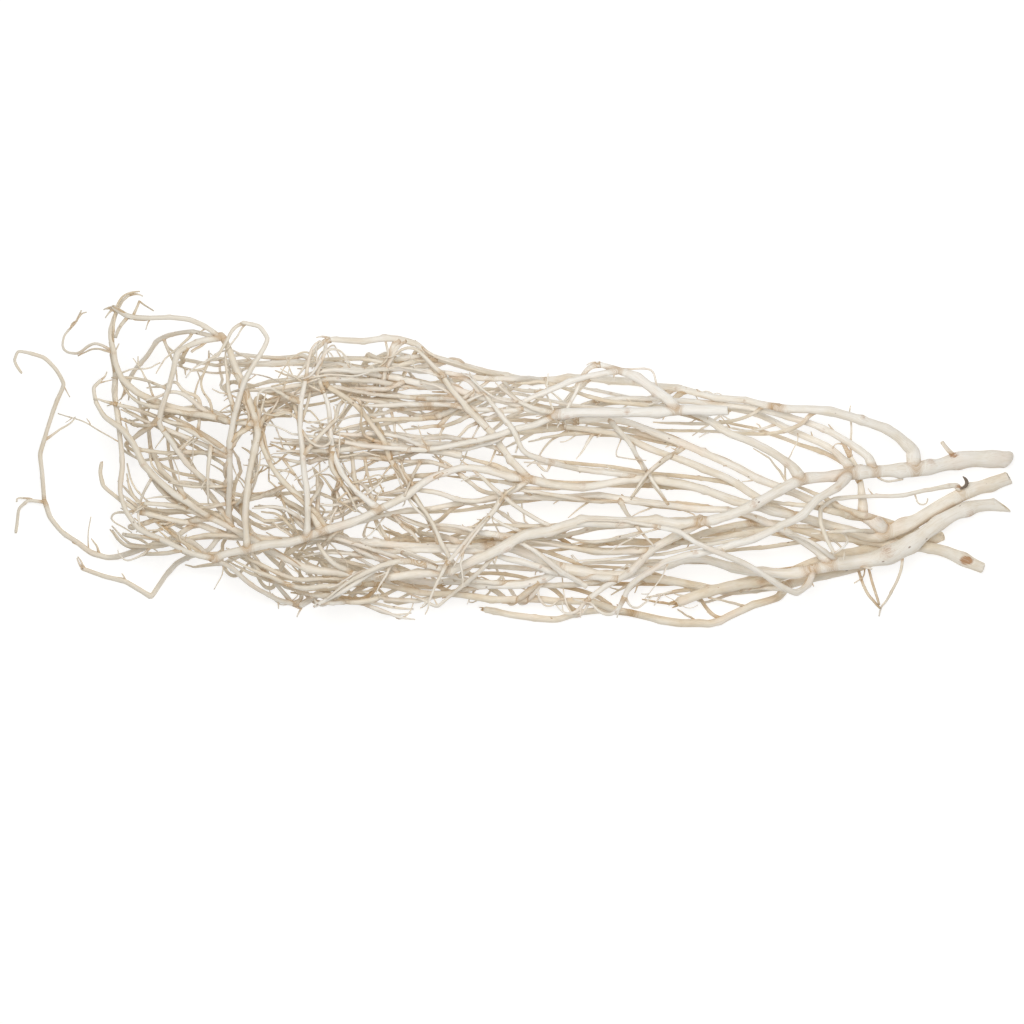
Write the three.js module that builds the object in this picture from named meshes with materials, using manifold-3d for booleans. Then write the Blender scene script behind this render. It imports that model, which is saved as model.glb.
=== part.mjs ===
// A bundle of peeled, bleached branches, lying on a flat surface.
//
// Seven branches lie together with their sawn butts towards +X. Each one forks again and again into limbs that
// fan out and tangle towards -X. A branch is split at its main forks: its stem and each of its limbs is one
// solid, seated on the piece it grows from. Units are millimetres and +Z is up. The origin is on the surface,
// under the middle of the bundle.
import * as THREE from "three";
import { mergeVertices } from "three/addons/utils/BufferGeometryUtils.js";
import Module from "manifold-3d";

// Driving dimensions.
const RING_SPACING = 40; // the longest step between two rings of a limb
const THICK_DIAMETER = 8.5; // limbs that reach this at their thickest get the rounder section
const THICK_SIDES = 8;
const THIN_SIDES = 6;
const SEAT_GAP = 0.35; // left where one solid is seated on another
const CROSSING_GAP = 1.6; // air between limbs that cross
const CROSSING_BREAK = 16; // contacts further apart than this along a limb belong to separate crossings
const LIFT_REACH = 32; // how far along a limb a push is felt
const FORK_REACH = 1.5; // limbs may touch this many radii from their fork
const SETTLING_ROUNDS = 300;

// The branches. Each row is [x, y, height, diameter] on the line of a stem or limb, from its base to its tip.
// Height is the lie of the limb before the bundle settles; 0 lies on the surface. A limb named in "on" carries
// the next one, which starts on its line at the point nearest to its own first row.
const BRANCHES = {
  branch_1: {
    stem: {
      rows: [
        [606, 1, 0, 20], [575, 2, 19, 20.5], [540, 0, 29, 19], [510, -7, 37, 17], [480, -11, 44, 18],
        [450, -13, 52, 15], [415, -15, 63, 15], [380, -20, 75, 13], [348, -23, 87, 13],
        [310, -42, 104, 12.5], [275, -60, 110, 12], [245, -71, 114, 12], [218, -76, 116, 11],
      ],
    },
    limb_a: {
      on: "stem",
      rows: [
        [218, -76, 116, 11], [170, -74, 118, 12], [120, -74, 118, 13], [80, -76, 116, 13],
        [40, -85, 112, 12], [0, -98, 108, 12], [-35, -117, 104, 11], [-70, -130, 100, 10],
        [-110, -137, 97, 10], [-160, -139, 95, 9],
      ],
    },
    limb_b: {
      on: "stem",
      rows: [
        [222, -76, 114, 9], [200, -87, 108, 10], [180, -99, 102, 10], [163, -112, 96, 10],
        [148, -126, 88, 9], [132, -140, 80, 8], [112, -153, 72, 7], [90, -168, 66, 6],
      ],
    },
    limb_c: {
      on: "stem",
      rows: [
        [484, -10, 43, 12], [482, 12, 45, 13], [467, 26, 51, 12], [445, 38, 60, 11.5], [420, 48, 67, 11],
        [385, 56, 72, 10.5], [350, 61, 72, 10], [312, 64, 71, 10],
      ],
    },
    limb_d: {
      on: "limb_c",
      rows: [
        [312, 64, 71, 9], [282, 71, 56, 8], [245, 76, 40, 8], [205, 85, 26, 8], [170, 91, 14, 8.5],
        [135, 96, 0, 9], [95, 100, 0, 9], [55, 97, 0, 9], [15, 97, 12, 9], [-25, 105, 30, 8.5],
        [-62, 114, 52, 8], [-105, 126, 74, 8],
      ],
    },
    limb_e: {
      on: "limb_d",
      rows: [
        [-105, 126, 74, 7], [-115, 140, 86, 7], [-135, 144, 98, 7.5], [-180, 142, 110, 7.5],
        [-222, 143, 118, 6],
      ],
    },
    limb_f: {
      on: "limb_d",
      rows: [
        [-105, 126, 74, 7], [-135, 122, 66, 7], [-158, 114, 54, 6.5], [-185, 104, 42, 6],
        [-215, 98, 30, 5.5], [-250, 92, 16, 5], [-280, 80, 0, 5],
      ],
    },
    limb_g: {
      on: "stem",
      rows: [
        [437, -13, 56, 9], [428, 4, 53, 9], [410, 18, 50, 8.5], [385, 32, 50, 8], [355, 45, 49, 8],
        [325, 54, 50, 7.5], [290, 62, 46, 7], [250, 68, 42, 7], [200, 71, 40, 6.5], [150, 75, 40, 6],
        [100, 71, 42, 5.5],
      ],
    },
    limb_h: {
      on: "stem",
      rows: [
        [408, -16, 65, 9], [402, -3, 57, 9], [388, 10, 47, 8.5], [365, 23, 36, 8], [340, 35, 25, 8],
        [318, 46, 16, 8], [292, 57, 0, 8], [262, 64, 0, 8],
      ],
    },
    limb_i: {
      on: "stem",
      rows: [
        [415, -15, 65, 9], [392, -29, 84, 10], [365, -48, 104, 9.5], [337, -72, 120, 9], [312, -84, 129, 9],
        [275, -98, 130, 8.5], [245, -107, 128, 8], [210, -113, 122, 8], [180, -124, 114, 7.5],
        [158, -136, 106, 7], [142, -150, 98, 6.5], [133, -168, 90, 6],
      ],
    },
    limb_j: {
      on: "stem",
      rows: [
        [348, -23, 87, 9], [334, -7, 95, 10], [312, 8, 103, 9.5], [288, 20, 104, 9], [262, 31, 102, 9],
        [240, 45, 98, 8], [215, 56, 92, 7.5], [190, 66, 86, 6.5],
      ],
    },
    limb_k: {
      on: "limb_a",
      rows: [
        [-160, -139, 95, 8.5], [-205, -136, 92, 9], [-245, -130, 90, 9], [-275, -117, 88, 8.5],
        [-300, -102, 88, 8], [-330, -85, 90, 7.5], [-358, -70, 92, 7], [-395, -57, 94, 6],
        [-440, -52, 96, 5],
      ],
    },
    limb_l: {
      on: "limb_a",
      rows: [
        [-72, -130, 102, 6], [-101, -125, 110, 6], [-132, -120, 114, 6], [-163, -131, 112, 5.5],
        [-197, -154, 104, 5.5], [-236, -175, 92, 5],
      ],
    },
    limb_m: {
      on: "limb_k",
      rows: [
        [-358, -70, 92, 7], [-385, -52, 100, 8], [-406, -40, 104, 8], [-425, -22, 108, 8],
        [-440, -3, 110, 7.5], [-452, 20, 110, 7.5], [-468, 38, 108, 7], [-486, 52, 104, 6],
        [-496, 70, 100, 5], [-499, 86, 98, 4.5], [-490, 96, 98, 4],
      ],
    },
  },
  branch_2: {
    stem: {
      rows: [
        [603, -20, 0, 15.5], [575, -29, 13, 15.5], [540, -43, 18, 16], [505, -62, 22, 16.5],
        [480, -77, 25, 17.5], [455, -86, 27, 17], [430, -91, 31, 14], [405, -85, 38, 12],
        [380, -78, 44, 11.5], [355, -71, 50, 11], [332, -65, 56, 11],
      ],
    },
    limb_a: {
      on: "stem",
      rows: [
        [456, -85, 29, 12], [438, -74, 36, 13], [422, -67, 39, 12], [400, -62, 40, 10], [378, -56, 42, 10],
        [350, -44, 45, 9.5], [320, -32, 50, 9], [290, -20, 54, 9], [255, -3, 58, 9], [228, 10, 62, 9],
        [198, 22, 66, 8.5], [168, 35, 70, 8.5], [138, 45, 72, 8], [105, 49, 72, 7.5], [75, 46, 72, 7],
      ],
    },
    limb_b: {
      on: "limb_a",
      rows: [
        [424, -67, 38, 8], [422, -48, 41, 8.5], [419, -28, 43, 8], [413, -8, 42, 6.5], [404, 9, 44, 5],
      ],
    },
    limb_c: {
      on: "stem",
      rows: [
        [332, -65, 56, 8], [305, -51, 66, 9], [280, -37, 70, 9], [255, -21, 74, 9], [225, -8, 76, 9],
        [200, 0, 78, 8.5], [175, 10, 80, 8], [150, 21, 82, 8], [122, 31, 82, 7.5], [95, 36, 82, 7],
        [60, 40, 82, 6.5],
      ],
    },
    limb_d: {
      on: "stem",
      rows: [
        [332, -65, 56, 10], [300, -58, 68, 10], [270, -49, 74, 10], [235, -38, 78, 10],
        [200, -28, 80, 10.5], [165, -22, 82, 10], [120, -28, 84, 9.5], [80, -32, 86, 9.5],
        [45, -30, 88, 10], [12, -21, 92, 11],
      ],
    },
    limb_e: {
      on: "limb_d",
      rows: [
        [12, -21, 92, 9], [-25, -15, 96, 9], [-60, -10, 102, 8.5], [-85, -17, 108, 8.5],
        [-115, -35, 116, 9], [-150, -57, 122, 9.5], [-200, -77, 128, 10], [-250, -94, 128, 10.5],
        [-300, -103, 124, 10], [-340, -112, 118, 9], [-360, -121, 114, 8],
      ],
    },
    limb_f: {
      on: "limb_d",
      rows: [
        [12, -21, 92, 8], [0, 0, 98, 8.5], [-15, 18, 104, 8], [-35, 42, 112, 7.5], [-57, 67, 118, 7],
        [-75, 86, 120, 6.5], [-84, 102, 120, 6],
      ],
    },
    limb_g: {
      on: "limb_d",
      rows: [
        [14, -22, 92, 6], [-8, -42, 100, 6.5], [-22, -62, 110, 6.5], [-42, -83, 120, 6],
        [-60, -105, 124, 5.5], [-78, -124, 122, 5],
      ],
    },
    limb_h: {
      on: "stem",
      rows: [
        [548, -40, 17, 6], [536, -31, 25, 6], [500, -37, 37, 5.5], [455, -43, 49, 5], [415, -44, 58, 5],
        [386, -47, 67, 5], [371, -59, 75, 5], [370, -76, 82, 5], [376, -94, 85, 5], [386, -113, 85, 4.5],
      ],
    },
    limb_i: {
      on: "limb_e",
      rows: [
        [-360, -121, 114, 7], [-390, -108, 112, 7], [-420, -94, 108, 6.5], [-447, -80, 102, 6.5],
        [-462, -62, 96, 6], [-468, -40, 92, 5.5], [-466, -12, 90, 6], [-468, 20, 90, 6], [-471, 50, 92, 6],
        [-475, 80, 96, 7], [-474, 104, 100, 7], [-478, 128, 104, 6],
      ],
    },
    limb_j: {
      on: "limb_e",
      rows: [
        [-356, -119, 116, 6], [-338, -128, 96, 6], [-322, -142, 72, 6], [-303, -157, 46, 6],
        [-282, -169, 20, 6], [-262, -174, 0, 6],
      ],
    },
    limb_k: {
      on: "limb_e",
      rows: [
        [-155, -59, 122, 6], [-185, -37, 128, 6.5], [-203, -16, 132, 6.5], [-211, 5, 134, 6.5],
        [-215, 31, 136, 6], [-218, 58, 138, 5.5], [-225, 84, 142, 5],
      ],
    },
    limb_l: {
      on: "limb_e",
      rows: [
        [-225, -86, 128, 6], [-240, -60, 130, 6.5], [-268, -30, 134, 6.5], [-286, -8, 138, 6],
        [-298, 20, 140, 5.5], [-300, 45, 136, 5],
      ],
    },
    limb_m: {
      on: "limb_e",
      rows: [
        [-246, -93, 128, 6], [-242, -60, 142, 7], [-246, -25, 148, 7], [-248, 10, 152, 7],
        [-252, 38, 154, 6.5], [-250, 68, 156, 6], [-244, 98, 156, 5],
      ],
    },
    limb_n: {
      on: "limb_e",
      rows: [
        [-316, -106, 122, 8], [-316, -75, 128, 8], [-316, -48, 134, 8], [-313, -21, 138, 8],
        [-306, 7, 142, 8], [-302, 29, 144, 8], [-306, 52, 146, 7.5], [-314, 78, 148, 7.5],
        [-325, 102, 150, 7.5], [-334, 126, 154, 7.5], [-348, 150, 158, 8],
      ],
    },
    limb_o: {
      on: "limb_n",
      rows: [
        [-348, 150, 158, 7], [-372, 140, 162, 7], [-394, 127, 162, 7], [-401, 105, 158, 6.5],
        [-408, 84, 152, 6.5], [-415, 62, 144, 6.5], [-419, 42, 134, 6.5], [-404, 18, 122, 6.5],
        [-387, -5, 112, 6.5], [-368, -23, 102, 6.5], [-342, -43, 92, 6.5], [-322, -58, 84, 6],
      ],
    },
    limb_p: {
      on: "limb_n",
      rows: [
        [-348, 150, 158, 6], [-364, 158, 162, 6], [-382, 165, 164, 6], [-405, 167, 162, 6],
        [-430, 167, 158, 6], [-455, 170, 150, 6.5], [-475, 182, 140, 6],
      ],
    },
    limb_q: {
      on: "limb_n",
      rows: [
        [-348, 150, 156, 5], [-380, 152, 130, 5], [-408, 150, 92, 5.5], [-425, 143, 62, 6],
        [-440, 125, 32, 5.5], [-455, 110, 10, 5.5], [-463, 97, 0, 5.5], [-468, 84, 0, 5.5],
      ],
    },
    limb_r: {
      on: "limb_n",
      rows: [
        [-304, 42, 145, 8], [-330, 46, 136, 8], [-360, 53, 128, 8], [-390, 60, 122, 8], [-422, 68, 118, 8],
        [-446, 80, 118, 7.5], [-464, 98, 120, 7], [-473, 118, 124, 7], [-477, 145, 126, 6],
        [-473, 170, 122, 5], [-466, 188, 116, 4], [-452, 200, 110, 3.5],
      ],
    },
  },
  branch_3: {
    stem: {
      rows: [
        [605, -57, 0, 11], [590, -54, 0, 13.5], [560, -56, 14, 15], [530, -66, 22, 16], [505, -82, 29, 18],
        [480, -101, 37, 20], [455, -113, 40, 22], [425, -121, 41, 18], [390, -126, 45, 15],
        [352, -133, 49, 13],
      ],
    },
    limb_a: {
      on: "stem",
      rows: [
        [352, -133, 49, 12], [320, -136, 50, 12], [290, -134, 50, 11.5], [262, -127, 50, 11],
        [235, -121, 52, 11], [205, -120, 54, 11], [172, -129, 56, 11], [138, -138, 58, 12],
        [100, -138, 60, 13], [60, -130, 62, 13], [30, -118, 64, 12], [0, -107, 66, 11], [-32, -101, 68, 10],
      ],
    },
    limb_b: {
      on: "stem",
      rows: [
        [390, -125, 45, 8], [370, -111, 46, 9], [350, -98, 46, 9], [328, -86, 46, 9], [300, -72, 44, 8.5],
        [265, -62, 44, 8], [225, -58, 46, 8], [180, -54, 48, 8], [140, -48, 50, 8], [105, -43, 52, 7.5],
        [65, -44, 54, 7], [25, -46, 58, 7], [-12, -43, 62, 7],
      ],
    },
    limb_c: {
      on: "limb_b",
      rows: [
        [-12, -43, 62, 6], [-60, -52, 70, 6.5], [-100, -58, 76, 6.5], [-140, -64, 82, 6],
        [-180, -73, 86, 6], [-215, -86, 90, 5.5],
      ],
    },
    limb_d: {
      on: "stem",
      rows: [
        [358, -132, 49, 7], [354, -150, 62, 7.5], [341, -160, 80, 7.5], [325, -153, 94, 7],
        [300, -137, 112, 7], [270, -121, 128, 7], [240, -108, 140, 6.5], [215, -97, 142, 6],
        [200, -87, 140, 6], [172, -80, 134, 5],
      ],
    },
    limb_e: {
      on: "limb_a",
      rows: [
        [-32, -101, 68, 9], [-75, -107, 70, 9], [-119, -103, 72, 9], [-169, -100, 72, 9.5],
        [-216, -94, 70, 9.5], [-262, -96, 68, 9], [-300, -95, 66, 9], [-339, -90, 66, 8.5],
        [-375, -79, 68, 7.5], [-410, -71, 72, 6.5], [-450, -62, 76, 6],
      ],
    },
    limb_f: {
      on: "limb_e",
      rows: [
        [-450, -62, 76, 5], [-472, -45, 78, 5], [-490, -30, 80, 4.5], [-493, -15, 82, 4.5],
        [-491, -3, 84, 4.5],
      ],
    },
    limb_g: {
      on: "limb_a",
      rows: [
        [62, -130, 62, 8], [40, -141, 56, 8.5], [10, -151, 50, 9], [-25, -150, 46, 9], [-60, -147, 42, 9],
        [-100, -146, 36, 9], [-150, -147, 28, 8.5], [-195, -150, 16, 8], [-228, -157, 0, 8],
        [-257, -176, 0, 8],
      ],
    },
    limb_h: {
      on: "limb_e",
      rows: [
        [-337, -91, 66, 7], [-338, -60, 90, 7.5], [-337, -20, 124, 7.5], [-334, 22, 146, 7.5],
        [-329, 56, 158, 7], [-320, 84, 166, 6.5], [-309, 106, 172, 6], [-298, 125, 174, 6],
        [-290, 143, 174, 5.5], [-299, 157, 176, 5], [-320, 162, 176, 4.5],
      ],
    },
    limb_i: {
      on: "limb_h",
      rows: [
        [-335, 8, 138, 5.5], [-360, 22, 130, 6], [-390, 37, 118, 6], [-420, 50, 108, 5.5],
        [-450, 61, 104, 5], [-476, 67, 106, 4.5],
      ],
    },
    limb_j: {
      on: "limb_e",
      rows: [
        [-380, -78, 68, 6], [-405, -92, 52, 6.5], [-432, -103, 36, 7], [-462, -112, 18, 7],
        [-490, -117, 0, 7], [-508, -112, 0, 7], [-525, -99, 0, 6.5], [-545, -85, 0, 6], [-559, -68, 6, 6],
        [-566, -46, 12, 5.5],
      ],
    },
    limb_k: {
      on: "limb_j",
      rows: [
        [-566, -46, 12, 5], [-566, -18, 18, 5.5], [-569, 8, 24, 5.5], [-562, 32, 30, 5],
        [-553, 56, 34, 5.5], [-545, 75, 38, 5], [-539, 91, 44, 5], [-548, 108, 50, 4.5],
        [-562, 123, 54, 4.5], [-580, 129, 56, 4], [-593, 130, 56, 3.5], [-597, 120, 54, 3.5],
        [-589, 104, 50, 3],
      ],
    },
    limb_l: {
      on: "limb_j",
      rows: [
        [-566, -46, 12, 4], [-585, -49, 12, 4], [-595, -58, 10, 4], [-598, -75, 4, 4], [-600, -88, 0, 4],
      ],
    },
    limb_m: {
      on: "limb_e",
      rows: [
        [-347, -88, 66, 5], [-365, -108, 50, 6], [-388, -117, 34, 6], [-405, -125, 22, 6.5],
        [-418, -138, 12, 6], [-427, -152, 4, 6], [-436, -165, 0, 6], [-450, -157, 0, 6], [-468, -146, 0, 6],
        [-492, -140, 0, 6], [-521, -130, 0, 5],
      ],
    },
  },
  branch_4: {
    stem: {
      rows: [
        [571, -131, 0, 13], [548, -121, 0, 14], [525, -111, 10, 14], [500, -106, 14, 13.5],
        [470, -103, 18, 13], [440, -98, 21, 12], [410, -94, 24, 11.5], [380, -92, 28, 11],
        [350, -84, 32, 10], [318, -77, 36, 9.5], [285, -74, 40, 9],
      ],
    },
    limb_a: {
      on: "stem",
      rows: [
        [285, -74, 40, 8], [245, -84, 42, 8], [205, -97, 44, 8], [165, -108, 46, 8.5], [130, -110, 48, 9],
        [90, -107, 50, 8.5], [50, -101, 52, 8], [12, -99, 56, 7.5], [-25, -92, 62, 7], [-62, -86, 68, 6.5],
        [-100, -80, 74, 6],
      ],
    },
    limb_b: {
      on: "limb_a",
      rows: [
        [-100, -80, 74, 6], [-110, -52, 82, 6], [-128, -25, 92, 6.5], [-145, 0, 102, 7],
        [-152, 22, 110, 6.5], [-168, 42, 116, 6], [-190, 67, 122, 6], [-223, 90, 128, 5.5],
      ],
    },
  },
  branch_5: {
    stem: {
      rows: [
        [523, -90, 0, 12], [498, -100, 0, 12], [468, -111, 0, 12], [435, -123, 0, 11], [400, -134, 0, 10],
        [370, -141, 0, 10], [338, -149, 0, 10], [300, -155, 4, 9.5], [262, -158, 10, 9.5],
        [225, -152, 18, 9.5], [190, -145, 24, 10], [155, -142, 30, 9.5],
      ],
    },
    limb_a: {
      on: "stem",
      rows: [
        [340, -149, 0, 8], [323, -163, 0, 9], [290, -177, 0, 9.5], [262, -188, 0, 9.5], [237, -198, 0, 10],
        [205, -197, 0, 9.5], [172, -190, 4, 9], [138, -183, 8, 9],
      ],
    },
    limb_b: {
      on: "limb_a",
      rows: [
        [138, -183, 8, 8], [105, -174, 16, 8], [65, -169, 24, 8.5], [25, -168, 30, 8.5],
        [-15, -167, 34, 8.5], [-55, -163, 38, 8], [-95, -160, 42, 7], [-130, -155, 46, 6.5],
        [-162, -150, 50, 6],
      ],
    },
    limb_c: {
      on: "limb_a",
      rows: [
        [138, -183, 8, 7], [112, -180, 4, 8], [85, -184, 0, 8], [55, -192, 0, 8], [25, -189, 0, 8],
        [-5, -186, 0, 8], [-34, -180, 0, 8],
      ],
    },
  },
  branch_6: {
    stem: {
      rows: [
        [494, -83, 0, 10], [465, -95, 0, 11], [430, -108, 8, 12], [395, -114, 12, 12], [362, -124, 15, 12],
        [330, -138, 20, 12], [300, -146, 26, 12], [265, -152, 32, 12], [230, -160, 38, 12],
        [198, -172, 43, 12],
      ],
    },
  },
  branch_7: {
    stem: {
      rows: [
        [259, 58, 128, 11.5], [220, 59, 128, 12], [180, 57, 128, 12], [140, 56, 128, 12],
        [100, 56, 126, 12], [68, 55, 124, 12], [44, 52, 122, 12],
      ],
    },
    limb_a: {
      on: "stem",
      rows: [
        [44, 52, 122, 8], [20, 62, 118, 8.5], [-15, 71, 110, 8], [-52, 79, 102, 8], [-90, 88, 94, 8],
        [-125, 95, 84, 8], [-158, 101, 72, 8], [-190, 109, 56, 8], [-223, 115, 36, 8], [-262, 118, 0, 8],
        [-292, 118, 0, 8], [-318, 116, 0, 6],
      ],
    },
    limb_b: {
      on: "stem",
      rows: [
        [44, 52, 122, 7], [22, 40, 124, 7.5], [-5, 33, 124, 7], [-45, 22, 122, 6.5], [-85, 14, 120, 6],
        [-125, 12, 118, 6], [-165, 16, 118, 5.5], [-205, 22, 120, 5],
      ],
    },
    limb_c: {
      on: "stem",
      rows: [
        [203, 58, 128, 9], [183, 74, 124, 11], [157, 91, 118, 10.5], [134, 104, 112, 9],
        [118, 111, 108, 7.5], [100, 115, 106, 6],
      ],
    },
    limb_d: {
      on: "limb_c",
      rows: [
        [134, 104, 112, 6.5], [95, 101, 108, 7], [60, 89, 106, 7], [30, 78, 104, 6.5], [5, 65, 100, 6],
        [-22, 52, 96, 5.5], [-42, 44, 92, 5],
      ],
    },
  },
};

// A limb's line as stations: points at most RING_SPACING apart, each with its radius and its distance from the
// base. A station between two rows at height 0 lies on the surface, and so does one at such a row.
function stationsOf(rows) {
  const curve = new THREE.CatmullRomCurve3(rows.map(([x, y, z]) => new THREE.Vector3(x, y, z)), false, "centripetal");
  const stations = [];
  for (let row = 0; row + 1 < rows.length; row += 1) {
    const span = Math.hypot(rows[row + 1][0] - rows[row][0], rows[row + 1][1] - rows[row][1]);
    const steps = Math.ceil(span / RING_SPACING);
    for (let step = row === 0 ? 0 : 1; step <= steps; step += 1) {
      const share = step / steps;
      const lowOn = (step > 0 ? rows[row + 1][2] : 0) + (step < steps ? rows[row][2] : 0);
      stations.push({
        point: curve.getPoint((row + share) / (rows.length - 1)),
        radius: THREE.MathUtils.lerp(rows[row][3], rows[row + 1][3], share) / 2,
        grounded: lowOn === 0,
      });
    }
  }
  stations.forEach((station, i) => {
    const before = stations[i - 1];
    station.along = before ? before.along + before.point.distanceTo(station.point) : 0;
  });
  return stations;
}

// Every stem and limb by name, each knowing the piece that carries it and the station where it is seated.
function listLimbs() {
  const limbs = new Map();
  for (const [branch, pieces] of Object.entries(BRANCHES)) {
    for (const [piece, { on, rows }] of Object.entries(pieces)) {
      const stations = stationsOf(rows);
      const thick = Math.max(...rows.map((row) => row[3])) >= THICK_DIAMETER;
      const parent = on ? limbs.get(`${branch}_${on}`) : null;
      const limb = { name: `${branch}_${piece}`, sides: thick ? THICK_SIDES : THIN_SIDES, stations, parent };
      if (parent) seatOn(limb, parent);
      limbs.set(limb.name, limb);
    }
  }
  return [...limbs.values()];
}

// Moves a limb's base onto its parent's line, and remembers the place between two of the parent's stations.
function seatOn(limb, parent) {
  const base = limb.stations[0].point;
  let nearest = Infinity;
  for (let i = 0; i + 1 < parent.stations.length; i += 1) {
    const a = parent.stations[i].point;
    const b = parent.stations[i + 1].point;
    const span = new THREE.Vector2(b.x - a.x, b.y - a.y);
    const share = THREE.MathUtils.clamp(((base.x - a.x) * span.x + (base.y - a.y) * span.y) / span.lengthSq(), 0, 1);
    const gap = Math.hypot(a.x + span.x * share - base.x, a.y + span.y * share - base.y);
    if (gap < nearest) {
      nearest = gap;
      limb.seat = { index: i, share };
    }
  }
  const [below, above] = parent.stations.slice(limb.seat.index);
  limb.stations[0].point = below.point.clone().lerp(above.point, limb.seat.share);
  limb.seat.radius = below.radius;
}

// The lowest height of a limb's line at a station: its flat lower side then lies on the surface.
const floorOf = (limb, station) => station.radius * Math.cos(Math.PI / limb.sides);

// Points about 6 mm apart on every limb's line. Each follows the two stations that it lies between.
function probesOf(limbs) {
  const probes = [];
  for (const limb of limbs) {
    for (let i = 0; i + 1 < limb.stations.length; i += 1) {
      const [a, b] = [limb.stations[i], limb.stations[i + 1]];
      const count = Math.max(2, Math.ceil((b.along - a.along) / 6));
      for (let k = 0; k < count; k += 1) {
        const share = k / count;
        probes.push({
          limb,
          a,
          b,
          share,
          x: THREE.MathUtils.lerp(a.point.x, b.point.x, share),
          y: THREE.MathUtils.lerp(a.point.y, b.point.y, share),
          radius: THREE.MathUtils.lerp(a.radius, b.radius, share),
          along: THREE.MathUtils.lerp(a.along, b.along, share),
        });
      }
    }
  }
  return probes;
}

const heightOf = (probe) => THREE.MathUtils.lerp(probe.a.point.z, probe.b.point.z, probe.share);

// True for two probes beside a fork that both belong to it, where one solid is seated on the other.
function shareFork(p, q) {
  const reachOf = (probe, other) => FORK_REACH * (probe.radius + other.radius) + (probe.limb.seat?.radius ?? 0);
  const nearBase = (probe, other) => probe.along < reachOf(probe, other);
  if (p.limb.parent === q.limb) return nearBase(p, q);
  if (q.limb.parent === p.limb) return nearBase(q, p);
  const siblings = p.limb.parent && p.limb.parent === q.limb.parent;
  return Boolean(siblings) && nearBase(p, q) && nearBase(q, p);
}

// The places where two limbs would touch if they lay at the same height. Pairs of probes on the same two limbs
// that follow one another make one crossing, so one of the two limbs passes over the other along all of it.
function crossingsOf(probes) {
  const crossings = [];
  const open = new Map();
  probes.forEach((p, i) => {
    for (let j = i + 1; j < probes.length; j += 1) {
      const q = probes[j];
      if (p.limb === q.limb) continue;
      const reach = p.radius + q.radius + CROSSING_GAP;
      const apart = Math.hypot(p.x - q.x, p.y - q.y);
      if (apart >= reach || shareFork(p, q)) continue;
      const key = `${p.limb.name} ${q.limb.name}`;
      const last = open.get(key)?.contacts.at(-1);
      const follows = last && p.along - last.p.along < CROSSING_BREAK;
      if (!follows) {
        open.set(key, { contacts: [] });
        crossings.push(open.get(key));
      }
      open.get(key).contacts.push({ p, q, needed: Math.sqrt(reach * reach - apart * apart) });
    }
  });
  for (const crossing of crossings) {
    const lead = crossing.contacts.reduce((sum, { p, q }) => sum + heightOf(p) - heightOf(q), 0);
    crossing.contacts = crossing.contacts.map(({ p, q, needed }) =>
      lead >= 0 ? { over: p, under: q, needed } : { over: q, under: p, needed },
    );
  }
  return crossings.flatMap((crossing) => crossing.contacts);
}

// Raises or lowers a limb by an amount that fades along it with the distance from one place.
function push(limb, along, amount) {
  for (const station of limb.stations) {
    const distance = (station.along - along) / LIFT_REACH;
    station.point.z += amount * Math.exp(-distance * distance);
  }
}

// Settles the bundle: limbs that cross are pushed apart in height until they clear each other and the surface,
// and every limb's base stays at the height of the piece that it grows from.
function settle(limbs) {
  const crossings = crossingsOf(probesOf(limbs));
  for (let round = 0; round < SETTLING_ROUNDS; round += 1) {
    for (const { over, under, needed } of crossings) {
      const missing = needed - (heightOf(over) - heightOf(under));
      if (missing <= 0) continue;
      push(over.limb, over.along, missing * 0.3);
      push(under.limb, under.along, -missing * 0.15);
    }
    for (const limb of limbs) {
      for (const station of limb.stations) {
        const floor = floorOf(limb, station);
        if (station.grounded || station.point.z < floor) station.point.z += (floor - station.point.z) * 0.8;
      }
      if (!limb.seat) continue;
      const [below, above] = limb.parent.stations.slice(limb.seat.index);
      const seatHeight = THREE.MathUtils.lerp(below.point.z, above.point.z, limb.seat.share);
      push(limb, 0, seatHeight - limb.stations[0].point.z);
    }
  }
}

// A limb's solid: a straight round bar with a ring of vertices at every station, tapered and bent along its
// line. One flat side of its section always faces down.
function bentBar(limb, swell = 0) {
  const { stations, sides } = limb;
  const spans = stations.length - 1;
  const bar = new THREE.CylinderGeometry(1, 1, spans, sides, spans, false, Math.PI / sides);
  bar.deleteAttribute("normal");
  bar.deleteAttribute("uv");
  const position = bar.getAttribute("position");
  const up = new THREE.Vector3(0, 0, 1);
  for (let i = 0; i < position.count; i += 1) {
    const row = Math.round(position.getY(i) + spans / 2);
    const { point, radius } = stations[row];
    const before = stations[Math.max(row - 1, 0)].point;
    const after = stations[Math.min(row + 1, spans)].point;
    const tangent = after.clone().sub(before).normalize();
    const side = tangent.clone().cross(up).normalize();
    const top = side.clone().cross(tangent);
    const beyond = (row === spans) - (row === 0);
    const vertex = point.clone().addScaledVector(tangent, beyond * swell);
    vertex.addScaledVector(side, position.getX(i) * (radius + swell));
    vertex.addScaledVector(top, position.getZ(i) * (radius + swell));
    position.setXYZ(i, vertex.x, vertex.y, vertex.z);
  }
  return mergeVertices(bar, 1e-3);
}

const wasm = await Module();
wasm.setup();

function solidOf(geometry) {
  const mesh = new wasm.Mesh({
    numProp: 3,
    vertProperties: geometry.getAttribute("position").array,
    triVerts: new Uint32Array(geometry.index.array),
  });
  return new wasm.Manifold(mesh);
}

function geometryOf(solid) {
  const { numProp, vertProperties, triVerts } = solid.getMesh();
  const count = vertProperties.length / numProp;
  const points = new Float32Array(count * 3);
  for (let i = 0; i < count; i += 1) points.set(vertProperties.subarray(i * numProp, i * numProp + 3), i * 3);
  return new THREE.BufferGeometry()
    .setAttribute("position", new THREE.BufferAttribute(points, 3))
    .setIndex(new THREE.BufferAttribute(triVerts, 1));
}

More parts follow.
